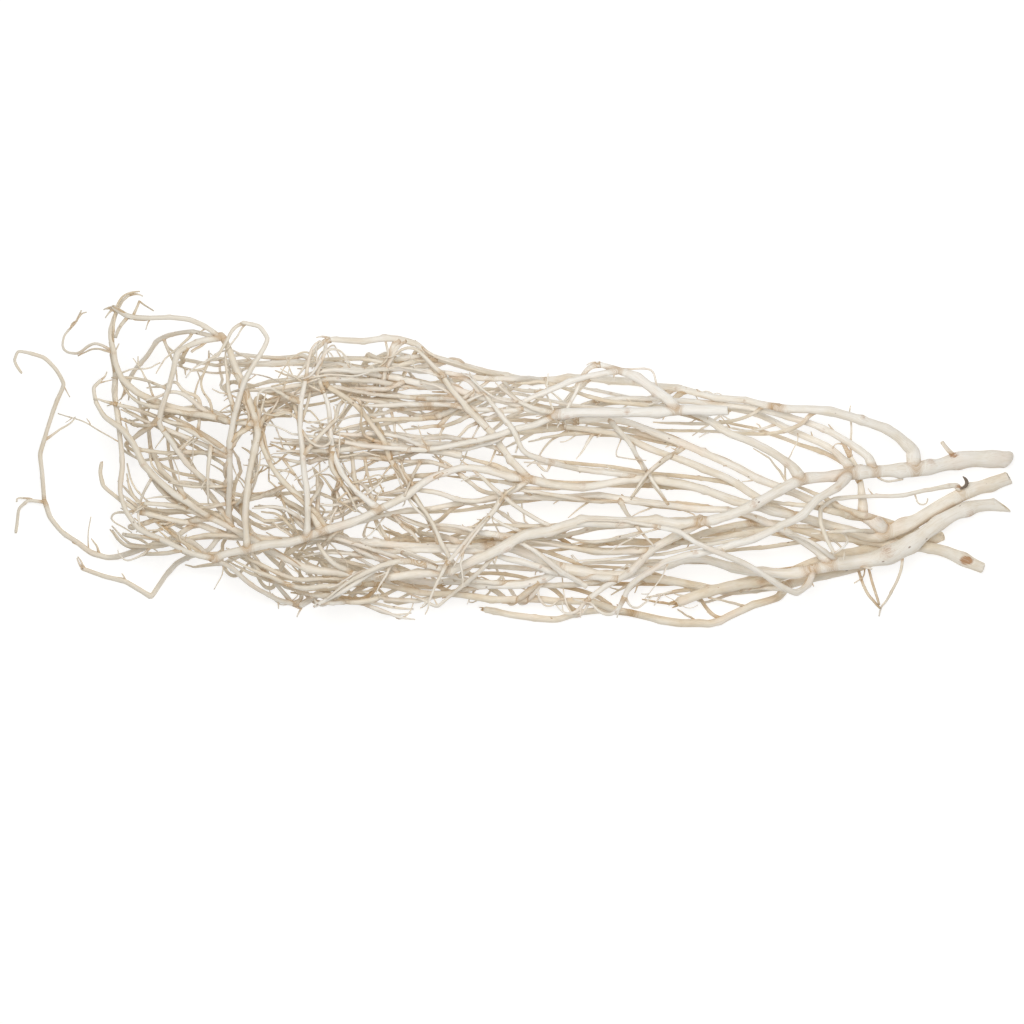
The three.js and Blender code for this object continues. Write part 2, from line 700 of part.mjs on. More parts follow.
// The limb's solid cut to sit on the piece that carries it and beside the limbs that leave the same fork.
function seatedSolid(limb, earlier) {
  let solid = solidOf(bentBar(limb));
  const family = earlier.filter((other) => other === limb.parent || (limb.parent && other.parent === limb.parent));
  for (const other of family) solid = solid.subtract(solidOf(bentBar(other, SEAT_GAP)));
  const bodies = solid.decompose();
  return bodies.reduce((largest, body) => (body.volume() > largest.volume() ? body : largest));
}

const limbs = listLimbs();
settle(limbs);

const bleachedWood = new THREE.MeshStandardMaterial({ color: 0xe9dcc6, roughness: 0.78, metalness: 0 });
const bundle = new THREE.Group();
limbs.forEach((limb, i) => {
  const mesh = new THREE.Mesh(geometryOf(seatedSolid(limb, limbs.slice(0, i))), bleachedWood.clone());
  mesh.name = limb.name;
  bundle.add(mesh);
});

// The origin goes to the middle of the bundle's footprint, on the surface.
const box = new THREE.Box3().setFromObject(bundle);
const middle = box.getCenter(new THREE.Vector3());
bundle.position.set(-middle.x, -middle.y, -box.min.z);

export default bundle;
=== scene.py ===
import math
import random

import bmesh
import bpy
import numpy as np
from mathutils import Matrix, Vector
from mathutils.kdtree import KDTree


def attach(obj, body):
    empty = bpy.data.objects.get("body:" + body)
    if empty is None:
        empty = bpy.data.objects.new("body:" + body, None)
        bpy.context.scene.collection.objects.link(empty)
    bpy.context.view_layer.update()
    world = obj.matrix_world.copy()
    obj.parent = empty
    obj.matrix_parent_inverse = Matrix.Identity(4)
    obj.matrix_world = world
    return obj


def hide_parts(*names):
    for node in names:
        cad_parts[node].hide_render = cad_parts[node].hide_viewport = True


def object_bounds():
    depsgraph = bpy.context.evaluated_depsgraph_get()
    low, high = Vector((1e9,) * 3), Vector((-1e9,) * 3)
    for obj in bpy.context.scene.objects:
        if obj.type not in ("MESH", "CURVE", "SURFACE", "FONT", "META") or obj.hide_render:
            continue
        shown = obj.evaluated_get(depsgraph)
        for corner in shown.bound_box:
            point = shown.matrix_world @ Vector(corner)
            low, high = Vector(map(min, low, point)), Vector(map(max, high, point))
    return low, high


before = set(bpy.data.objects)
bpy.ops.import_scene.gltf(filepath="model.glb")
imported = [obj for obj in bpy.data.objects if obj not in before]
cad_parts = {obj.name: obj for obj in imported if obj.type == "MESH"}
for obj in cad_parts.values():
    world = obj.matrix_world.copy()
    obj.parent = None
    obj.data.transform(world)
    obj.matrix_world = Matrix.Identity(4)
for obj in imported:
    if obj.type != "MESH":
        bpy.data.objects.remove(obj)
cad_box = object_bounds()

# ----------------------------------------------------------------------
# The stems and limbs, from the sawn butts to where they turn into twigs: young branches of a twisting shrub,
# peeled and bleached cream white. Each is a turned bar, bent along the line of its own solid and swollen at
# its nodes. It stands for that solid, and meets the others at the forks.

MM = 0.001
# Each branch's wood has its own warmth. The lower branches are painted warmer, as painted shade where they
# lie under the others.
BRANCH_WARMTH_AND_SHADE = {1: 0.16, 2: 0.26, 3: 0.22, 4: 0.46, 5: 0.5, 6: 0.45, 7: 0.1}


def linear(code):
    """A colour written as an sRGB hex code, as linear red, green, blue and alpha."""
    channels = [int(code[i:i + 2], 16) / 255 for i in (1, 3, 5)]
    return [c / 12.92 if c <= 0.04045 else ((c + 0.055) / 1.055) ** 2.4 for c in channels] + [1.0]


def add_node(tree, kind, settings=None, **links):
    """Adds a node with its settings. A link is a socket of another node, or a plain value for the input."""
    node = tree.nodes.new(kind)
    for key, value in (settings or {}).items():
        setattr(node, key, value)
    for key, value in links.items():
        socket = node.inputs[int(key[1:])] if key[0] == "_" else node.inputs[key.replace("_", " ")]
        if isinstance(value, bpy.types.NodeSocket):
            tree.links.new(value, socket)
        else:
            socket.default_value = value
    return node


def bleached_wood_and_painted_shade(name, warmth):
    """Peeled, bleached shrub wood: long pale fibres, tan and pinkish patches, dark buds, knots and specks.

    It is matt and slightly silky along the grain. The pattern follows the attribute "grain", a place across
    and along the limb in metres. It runs on fast where another limb is close, so the wood is finely mottled
    there. "section" holds how far a place is from the limb's middle, and how close to another limb. Where
    another limb is close, the wood is tinted golden brown: painted shade between the limbs. "finish" holds
    how warm, how knotty and how freshly sawn the wood is. The warmth given for the branch is higher for the
    lower branches, as painted shade where they lie under the others.
    """
    material = bpy.data.materials.new(name)
    material.use_nodes = True
    tree = material.node_tree
    tree.nodes.clear()
    grain = add_node(tree, "ShaderNodeAttribute", {"attribute_name": "grain"}).outputs["Vector"]
    finish = add_node(tree, "ShaderNodeAttribute", {"attribute_name": "finish"}).outputs["Vector"]
    finish = add_node(tree, "ShaderNodeSeparateXYZ", Vector=finish)
    section_and_shade = add_node(tree, "ShaderNodeAttribute", {"attribute_name": "section_and_shade"}).outputs["Vector"]
    place = add_node(tree, "ShaderNodeTexCoord").outputs["Object"]

    # Fibres are about 0.9 mm wide and 40 mm long, so they just show.
    fibre_place = add_node(tree, "ShaderNodeMapping", Vector=grain, Scale=(1100, 1100, 26)).outputs[0]
    fibres = add_node(tree, "ShaderNodeTexNoise", Vector=fibre_place, Scale=1, Detail=4, Roughness=0.6)
    # Bands of fibres are about 4 mm wide and 70 mm long.
    band_place = add_node(tree, "ShaderNodeMapping", Vector=grain, Scale=(260, 260, 14)).outputs[0]
    bands = add_node(tree, "ShaderNodeTexNoise", Vector=band_place, Scale=1, Detail=2)
    # Patches where the bleach took differently are 10 to 40 mm long.
    patch_place = add_node(tree, "ShaderNodeMapping", Vector=grain, Scale=(60, 60, 32)).outputs[0]
    patches = add_node(tree, "ShaderNodeTexNoise", Vector=patch_place, Scale=1, Detail=3, Roughness=0.65)
    # Whole stretches of the bundle, about 45 mm wide, are a little pinker.
    blush = add_node(tree, "ShaderNodeTexNoise", Vector=place, Scale=22, Detail=2)

    warm = add_node(tree, "ShaderNodeMath", {"operation": "MULTIPLY_ADD"},
                    _0=patches.outputs["Fac"], _1=1.1, _2=-0.55)
    warm = add_node(tree, "ShaderNodeMath", {"operation": "ADD"}, _0=warm.outputs[0], _1=finish.outputs[0])
    warm = add_node(tree, "ShaderNodeMath", {"operation": "ADD", "use_clamp": True},
                    _0=warm.outputs[0], _1=warmth)
    body = add_node(tree, "ShaderNodeValToRGB", Fac=warm.outputs[0])
    ramp = body.color_ramp
    ramp.elements[0].color = linear("#F2EEE6")
    ramp.elements[1].color = linear("#CBAF8A")
    for position, code in ((0.3, "#ECE5D8"), (0.6, "#E2D6C1")):
        ramp.elements.new(position).color = linear(code)

    def tint(base, share, code):
        """The base colour, mixed with another by a share."""
        mix = add_node(tree, "ShaderNodeMix", {"data_type": "RGBA"}, _0=share, _6=base, _7=linear(code))
        return mix.outputs[2]

    def between(value, low, high, top=1.0):
        """0 where the value is low, rising to top where it is high."""
        return add_node(tree, "ShaderNodeMapRange", Value=value, _1=low, _2=high, _3=0.0, _4=top).outputs[0]

    colour = tint(body.outputs[0], between(blush.outputs["Fac"], 0.52, 0.72, 0.35), "#EAD6C4")
    colour = tint(colour, between(bands.outputs["Fac"], 0.56, 0.78, 0.45), "#D6C5A8")
    colour = tint(colour, between(fibres.outputs["Fac"], 0.5, 0.8, 0.45), "#BFA888")
    # The young wood towards the tips kept more of its grey-brown.
    towards_tips = add_node(tree, "ShaderNodeSeparateXYZ", Vector=place).outputs[0]
    colour = tint(colour, between(towards_tips, -0.12, -0.48, 0.3), "#BFAD8A")
    # Painted shade: the wood is tinted golden brown where another limb is close, where shade falls between
    # the limbs.
    touch = add_node(tree, "ShaderNodeSeparateXYZ", Vector=section_and_shade).outputs[2]
    touch = add_node(tree, "ShaderNodeMath", {"operation": "MULTIPLY"},
                     _0=touch, _1=between(patches.outputs["Fac"], 0.25, 0.55))
    colour = tint(colour, between(touch.outputs[0], 0.1, 0.9, 0.7), "#B38C55")
    # Buds, leaf scars and knots are stained brown.
    knot = add_node(tree, "ShaderNodeMath", {"operation": "MULTIPLY"},
                    _0=finish.outputs[1], _1=between(fibres.outputs["Fac"], 0.3, 0.62))
    colour = tint(colour, between(knot.outputs[0], 0.05, 1.0, 0.85), "#A87644")
    # Dark specks, up to 2 mm across and far apart.
    speck_place = add_node(tree, "ShaderNodeMapping", Vector=grain, Scale=(1, 1, 0.55))
    specks = add_node(tree, "ShaderNodeTexVoronoi", Vector=speck_place.outputs[0], Scale=62)
    colour = tint(colour, between(specks.outputs["Distance"], 0.075, 0.04, 0.7), "#6B4526")

    # A sawn end is tan, with year rings about 1.1 mm apart round a small dark pith.
    across = add_node(tree, "ShaderNodeVectorMath", {"operation": "MULTIPLY"}, _0=section_and_shade, _1=(1, 1, 0))
    across = add_node(tree, "ShaderNodeVectorMath", {"operation": "LENGTH"}, _0=across.outputs[0])
    across = across.outputs["Value"]
    year = add_node(tree, "ShaderNodeMath", {"operation": "MULTIPLY"}, _0=across, _1=2 * math.pi / (1.1 * MM))
    year = add_node(tree, "ShaderNodeMath", {"operation": "SINE"}, _0=year.outputs[0])
    sawn = add_node(tree, "ShaderNodeMix", {"data_type": "RGBA"},
                    _0=between(year.outputs[0], -1.0, 1.0), _6=linear("#E0D2B8"), _7=linear("#D2BF9F"))
    sawn = tint(sawn.outputs[2], between(across, 1.4 * MM, 0.9 * MM, 0.7), "#96744C")
    end = add_node(tree, "ShaderNodeMix", {"data_type": "RGBA"}, _0=finish.outputs[2], _6=colour, _7=sawn)

    height = add_node(tree, "ShaderNodeMath", {"operation": "MULTIPLY_ADD"},
                      _0=bands.outputs["Fac"], _1=0.7, _2=fibres.outputs["Fac"])
    relief = add_node(tree, "ShaderNodeBump", Strength=0.35, Distance=0.4 * MM, Height=height.outputs[0])
    surface = add_node(tree, "ShaderNodeBsdfPrincipled", Base_Color=end.outputs[2], Normal=relief.outputs[0],
                       Roughness=0.72, Specular_IOR_Level=0.28, IOR=1.5)
    add_node(tree, "ShaderNodeOutputMaterial", Surface=surface.outputs[0])
    return material


def on_branch(name, mesh, material, node=None):
    """Makes a mesh a piece of the bundle, with its branch's wood, on the root body. It may stand for a solid,
    the node.
    """
    mesh.name = name
    mesh.materials.append(material)
    piece = bpy.data.objects.new(name, mesh)
    bpy.context.scene.collection.objects.link(piece)
    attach(piece, "root")
    if node:
        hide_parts(node)


# One wood for each branch, with that branch's warmth, which paints shade on the lower branches.
branch_wood = {
    number: bleached_wood_and_painted_shade(f"branch_{number}_bleached_wood_and_painted_shade", warmth)
    for number, warmth in BRANCH_WARMTH_AND_SHADE.items()
}

RING_STEP = 3.2 * MM
NODE_SPACING = (24 * MM, 52 * MM)
STEM_EASE, LIMB_EASE = 1.0, 0.62
STEM_SWAY, LIMB_SWAY = 0.25, 0.9
# For each sawn butt: the way that its face looks, and how steeply it slants.
BUTT_CUTS = {
    "branch_1_stem": ((0, -1, 0.9), 0.5),
    "branch_2_stem": ((0, 1, 0.5), 0.3),
    "branch_3_stem": ((0, 1, 0.35), 1.7),
    "branch_4_stem": ((0, 0.3, 1), 0.2),
    "branch_5_stem": ((0, 0, 1), 0.3),
    "branch_6_stem": ((0, 0.4, 1), 0.4),
    "branch_7_stem": ((0, 0.3, 0.6), 0.25),
}
# Oval scars where a limb was cut off flush or a bud died: (x, y) of the middle and (length, width).
SCARS = {
    "branch_4_stem": ((545 * MM, -120 * MM), (14 * MM, 10 * MM)),
    "branch_1_stem": ((528 * MM, 7 * MM), (9 * MM, 5 * MM)),
    "branch_2_limb_h": ((536 * MM, -31 * MM), (9 * MM, 3.5 * MM)),
}
BROKEN_TIPS = ("branch_5_limb_c", "branch_6_stem", "branch_2_stem", "branch_3_limb_f", "branch_1_limb_l")
# This limb's last twigs are laid one by one.
PLAIN_TIPS = ("branch_2_limb_h",)


def rings_of(solid):
    """A limb's line from its solid: (middle, radius) of its rings from the free end on, and what is left."""
    shell = bmesh.new()
    shell.from_mesh(solid.data)
    bmesh.ops.remove_doubles(shell, verts=shell.verts, dist=0.004 * MM)
    # An end is a flat fan of 6 or 8 equal triangles round one middle.
    ends = []
    for vert in shell.verts:
        rim = [edge.other_vert(vert) for edge in vert.link_edges]
        flat = all(face.normal.dot(vert.link_faces[0].normal) > 0.9999 for face in vert.link_faces)
        reach = [(other.co - vert.co).length for other in rim]
        if len(rim) in (6, 8) and flat and max(reach) - min(reach) < 0.02 * max(reach):
            ends.append((max(reach), vert))
    butt_and_tip = solid.name.endswith("stem")
    tip = min(ends, key=lambda end: end[1].co.x if butt_and_tip else end[0])[1]
    layer, seen, rings = [tip], {tip}, []
    while True:
        layer = list({edge.other_vert(vert) for vert in layer for edge in vert.link_edges} - seen)
        if len(layer) != len(tip.link_edges):
            break
        seen.update(layer)
        middle = sum((vert.co for vert in layer), Vector()) / len(layer)
        rings.append((middle, sum((vert.co - middle).length for vert in layer) / len(layer)))
    seat = [vert.co.copy() for vert in shell.verts if vert not in seen]
    seat = sum(seat, Vector()) / len(seat)
    shell.free()
    return rings[::-1], seat


def nearest_on(rings, point):
    """The place on a line of rings that is nearest to a point: (distance, place, radius)."""
    best = (1e9, None, 0)
    for (a, radius_a), (b, radius_b) in zip(rings, rings[1:]):
        share = min(1, max(0, (point - a).dot(b - a) / (b - a).length_squared))
        place = a.lerp(b, share)
        here = ((place - point).length, place, radius_a + (radius_b - radius_a) * share)
        best = min(best, here, key=lambda found: found[0])
    return best


def flowing_line(points, radii, step, ease=1.0):
    """A line through points, as arrays of places a step apart, their radii and distances.

    It is smooth where ease is 1, and kinks more at its points the lower that ease is.
    """
    points, radii = np.array(points, float), np.array(radii, float)
    chord = np.r_[0, np.cumsum(np.linalg.norm(np.diff(points, axis=0), axis=1))]
    tangent = np.gradient(points, chord, axis=0) * ease
    along = np.linspace(0, chord[-1], max(3, round(chord[-1] / step)) + 1)
    i = np.clip(np.searchsorted(chord, along, side="right") - 1, 0, len(points) - 2)
    span = (chord[i + 1] - chord[i])[:, None]
    t = ((along - chord[i]) / span[:, 0])[:, None]
    line = ((2 * t**3 - 3 * t**2 + 1) * points[i] + (t**3 - 2 * t**2 + t) * span * tangent[i]
            + (3 * t**2 - 2 * t**3) * points[i + 1] + (t**3 - t**2) * span * tangent[i + 1])
    return line, np.interp(along, chord, radii), along


straight_bars = {}


def straight_bar(sides, rings):
    """A straight round bar of unit radius with its rings one unit apart, closed at both ends."""
    if (sides, rings) not in straight_bars:
        bar = bmesh.new()
        bottom = bmesh.ops.create_circle(bar, segments=sides, radius=1)["verts"]
        rim = list({edge for vert in bottom for edge in vert.link_edges})
        bmesh.ops.contextual_create(bar, geom=rim)
        for _ in range(rings - 1):
            raised = bmesh.ops.extrude_edge_only(bar, edges=rim)["geom"]
            rim = [part for part in raised if isinstance(part, bmesh.types.BMEdge)]
            corners = [part for part in raised if isinstance(part, bmesh.types.BMVert)]
            bmesh.ops.translate(bar, verts=corners, vec=(0, 0, 1))
        bmesh.ops.contextual_create(bar, geom=rim)
        bmesh.ops.recalc_face_normals(bar, faces=bar.faces)
        for face in bar.faces:
            face.smooth = len(face.verts) == 4
        straight_bars[sides, rings] = bpy.data.meshes.new("straight_bar")
        bar.to_mesh(straight_bars[sides, rings])
        bar.free()
    return straight_bars[sides, rings]


def carried_frames(line):
    """For every place on a line, its forward direction and two directions across it that never spin."""
    forward = np.gradient(line, axis=0)
    forward /= np.linalg.norm(forward, axis=1)[:, None]
    across = np.empty_like(line)
    side = np.cross(forward[0], (0.31, 0.2, 0.93))
    for i, direction in enumerate(forward):
        side = side - direction * side.dot(direction)
        side /= np.linalg.norm(side)
        across[i] = side
    return forward, across, np.cross(forward, across)


# Limbs are painted with shade where another is closer than the first, and are looked for within the second.
SHADE_REACH = 6 * MM
SEARCH_REACH = 14 * MM
FAR_AWAY = 9.0
touch_rings = []


def tree_of_rings(lines):
    """Adds limbs, as (line, radii, owner), to the rings that may touch, and gives a tree to find them by."""
    for line, radii, owner in lines:
        touch_rings.extend((tuple(place), float(radius), owner) for place, radius in zip(line, radii))
    tree = KDTree(len(touch_rings))
    for k, (place, _, _) in enumerate(touch_rings):
        tree.insert(place, k)
    tree.balance()
    return tree


def closeness(points, line, radii, owner):
    """How close the points of each ring are to another limb, which sets the painted shade: 1 where they
    touch, 0 from SHADE_REACH on.
    """
    others = np.full((len(line), 2, 4), FAR_AWAY)
    for i, (place, radius) in enumerate(zip(line, radii)):
        near = [
            (distance - touch_rings[k][1], k)
            for _, k, distance in touch_tree.find_range(place, radius + SEARCH_REACH)
            if touch_rings[k][2] != owner
        ]
        for slot, (_, k) in enumerate(sorted(near)[:2]):
            others[i, slot] = (*touch_rings[k][0], touch_rings[k][1])
    gap = np.linalg.norm(points[:, :, None, :] - others[:, None, :, :3], axis=3) - others[:, None, :, 3]
    return np.clip(1 - gap.min(axis=2) / SHADE_REACH, 0, 1)


# A knot that stands out less than this is only faintly stained.
LOW_KNOT = 0.24


def bent_bar(line, radii, along, rng, sides, warmth, knots=(), cut=None, lumps=0.05, scar=None, owner=None):
    """A length of wood as a new mesh: a straight bar bent along a line, uneven, swollen at its knots.

    A knot is (place along, reach, height, bearing). A sawn base is given as cut, and a scar on top as scar.
    """
    mesh = straight_bar(sides, len(line)).copy()
    line = np.clip(line, np.array(cad_box[0]) + radii[:, None], np.array(cad_box[1]) - radii[:, None])
    unit = np.empty(len(mesh.vertices) * 3)
    mesh.vertices.foreach_get("co", unit)
    unit = unit.reshape(-1, 3)
    ring = np.rint(unit[:, 2]).astype(int)
    angle = np.arctan2(unit[:, 1], unit[:, 0])
    forward, across, up = carried_frames(line)
    place = along[ring]
    uneven = np.zeros(len(unit))
    for waves, share in ((2, 1.0), (3, 0.6), (1, 0.5)):
        turn, drift = rng.uniform(0, 6.28), rng.uniform(-28, 28)
        swing = np.sin(place * rng.uniform(30, 90) + rng.uniform(0, 6.28))
        uneven += share * np.cos(waves * angle + turn + drift * place) * (0.6 + 0.4 * swing)
    uneven += 0.8 * np.sin(place * rng.uniform(60, 110) + rng.uniform(0, 6.28))
    swell = 1 + lumps * uneven
    stain = np.zeros(len(unit))
    for centre, reach, height, bearing in knots:
        near = np.exp(-(((place - centre) / reach) ** 2))
        facing = np.clip(np.cos(angle - bearing), 0, 1) ** 2
        swell += near * (0.35 * height + height * facing)
        darkness = min(1, height * 3.2) * (0.25 if height < LOW_KNOT else 0.8)
        stain = np.maximum(stain, near**3 * facing**2 * darkness)
    radius = (radii[ring] * swell)[:, None]
    cross_section = radius * (np.cos(angle)[:, None] * across[ring] + np.sin(angle)[:, None] * up[ring])
    position = line[ring] + cross_section
    if cut:
        way, slant = np.array(cut[0], float), cut[1]
        way -= forward[0] * way.dot(forward[0])
        facing = 1 + cross_section.dot(way / np.linalg.norm(way)) / radii[3]
        reach = 2.8 * slant * radii[3]
        position += forward[0] * (slant * radii[3] * facing * np.clip(1 - place / reach, 0, 1))[:, None]
    if scar:
        middle, size = np.array(scar)
        away = 2 * np.hypot(*((position[:, :2] - middle) / size).T)
        mark = np.exp(-(away**4)) * (cross_section[:, 2] > 0)
        stain = np.maximum(stain, 3 * mark)
        position -= 0.06 * cross_section * mark[:, None]
    position = np.clip(position, np.array(cad_box[0]) + (0, 0, 0.1 * MM), np.array(cad_box[1]))
    mesh.vertices.foreach_set("co", position.ravel())
    # How near another limb each point is. The wood is painted with shade there.
    close = closeness(position.reshape(len(line), sides, 3), line, radii, owner).ravel()
    section_and_shade = np.column_stack((np.cos(angle) * radius[:, 0], np.sin(angle) * radius[:, 0], close))
    offset = np.array([rng.uniform(-3, 3) for _ in range(3)])
    grain = section_and_shade + np.column_stack((np.zeros((len(unit), 2)), place)) + offset
    fresh = (ring == 0) * (1.0 if cut else 0.0)
    finish = np.column_stack((np.full(len(unit), warmth), stain, fresh))
    for key, values in (("grain", grain), ("section_and_shade", section_and_shade), ("finish", finish)):
        mesh.attributes.new(key, "FLOAT_VECTOR", "POINT").data.foreach_set("vector", values.ravel())
    return mesh


limb_lines = {name: rings_of(solid) for name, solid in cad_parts.items()}
seated_lines, collars = {}, {}
for name, (rings, seat) in limb_lines.items():
    places = [middle for middle, _ in rings]
    radii = [radius for _, radius in rings]
    if not name.endswith("stem"):
        kin = [other for other in limb_lines if other[:8] == name[:8] and other != name]
        carrier = min(kin, key=lambda other: nearest_on(limb_lines[other][0], seat)[0])
        _, root, carrier_radius = nearest_on(limb_lines[carrier][0], seat)
        (before, _), (tip, tip_radius) = limb_lines[carrier][0][-2:]
        at_tip = (root - tip).length < 6 * MM
        if at_tip:
            root = tip.lerp(before, min(0.9, 1.7 * tip_radius / (before - tip).length))
        places.insert(0, root)
        radii.insert(0, min(radii[0] * 1.1, carrier_radius * (0.93 if at_tip else 0.8)))
        collars[name] = 0 if at_tip else carrier_radius
    seated_lines[name] = (places, radii)

grown_limbs, limb_growth = {}, {}
for name, (places, radii) in seated_lines.items():
    rng = random.Random(name)
    stem = name.endswith("stem")
    line, radius, along = flowing_line(places, radii, RING_STEP, STEM_EASE if stem else LIMB_EASE)
    carries_on = any(
        (Vector(line[-1]) - Vector(other[0][0])).length < 20 * MM for key, other in seated_lines.items()
        if key[:8] == name[:8] and key != name and not collars.get(key)
    )
    # The limb swings a little from node to node, as it grew.
    knots, centre, bearing = [], rng.uniform(*NODE_SPACING) * 0.7, rng.uniform(0, 6.28)
    while centre < along[-1] - 6 * MM:
        here = float(np.interp(centre, along, radius))
        knots.append((centre, rng.uniform(0.7, 1.4) * here, rng.uniform(0.1, 0.36), bearing))
        centre += rng.uniform(*NODE_SPACING)
        bearing += math.pi + rng.uniform(-0.9, 0.9)
    forward, across, up = carried_frames(line)
    sway = np.interp(along, [0] + [k[0] for k in knots] + [along[-1]],
                     [0] + [(1 if i % 2 else -1) * rng.uniform(0.12, 0.5) for i in range(len(knots))] + [0])
    sway = sway * (STEM_SWAY if stem else LIMB_SWAY)
    line = line + (sway * radius)[:, None] * across
    # A collar thickens the base where the limb leaves its fork, and the free end closes.
    if collars.get(name):
        past = (along - 1.3 * collars[name]) / (2.4 * radius[0])
        radius = radius * (1 + 0.32 * np.exp(-(past**2)))
        radius = np.minimum(radius, 0.8 * collars[name] + 0.45 * along)
    if carries_on:
        closing = np.sqrt(np.clip(1 - np.clip(1 - (along[-1] - along) / radius[-1], 0, 1) ** 2, 0.02, 1))
    else:
        closing = np.clip((along[-1] - along) / (0.45 * radius[-1]), 0, 1) ** 0.5 * 0.3 + 0.7
    radius = radius * closing
    # The saw's edge is worn round.
    if stem:
        chamfer = np.array([0, 0.5, 1.8, 3.1]) * MM
        inner = np.array([np.interp(chamfer, along, line[:, axis]) for axis in range(3)]).T
        line = np.vstack((inner, line[1:]))
        radius = np.r_[radius[0] * np.array([0.7, 0.86, 0.97, 1]), radius[1:]]
        along = np.r_[chamfer, along[1:]]
    grown_limbs[name] = (line, radius, along, carries_on)
    limb_growth[name] = (rng, knots)

touch_tree = tree_of_rings([(line, radius, name) for name, (line, radius, _, _) in grown_limbs.items()])
for name, (line, radius, along, _) in grown_limbs.items():
    rng, knots = limb_growth[name]
    branch = int(name[7])
    sides = 26 if radius.max() > 7 * MM else 18 if radius.max() > 4.4 * MM else 14
    cut = BUTT_CUTS.get(name)
    mesh = bent_bar(line, radius, along, rng, sides, rng.uniform(-0.14, 0.14), knots, cut,
                    scar=SCARS.get(name), owner=name)
    on_branch(f"{name}_wood", mesh, branch_wood[branch], name)

# ----------------------------------------------------------------------
# The long twigs: the shoots, 3 to 11 mm thick, that the limbs carry past their last big forks. They are the
# same peeled wood. They are laid in one by one, so each rests on what lies below it.

# The places of the long twigs are measured from this one, and this is how sharply they sag over a gap.
LAID_FROM = (-3.5 * MM, 0.6 * MM)
BEND_LIMIT = 6.0
top = cad_box[1].z
twig_lines = {number: [] for number in BRANCH_WARMTH_AND_SHADE}
heap = np.vstack([np.column_stack((line, radius)) for line, radius, _, _ in grown_limbs.values()])
heap_branch = np.hstack([np.full(len(line), int(name[7])) for name, (line, _, _, _) in grown_limbs.items()])

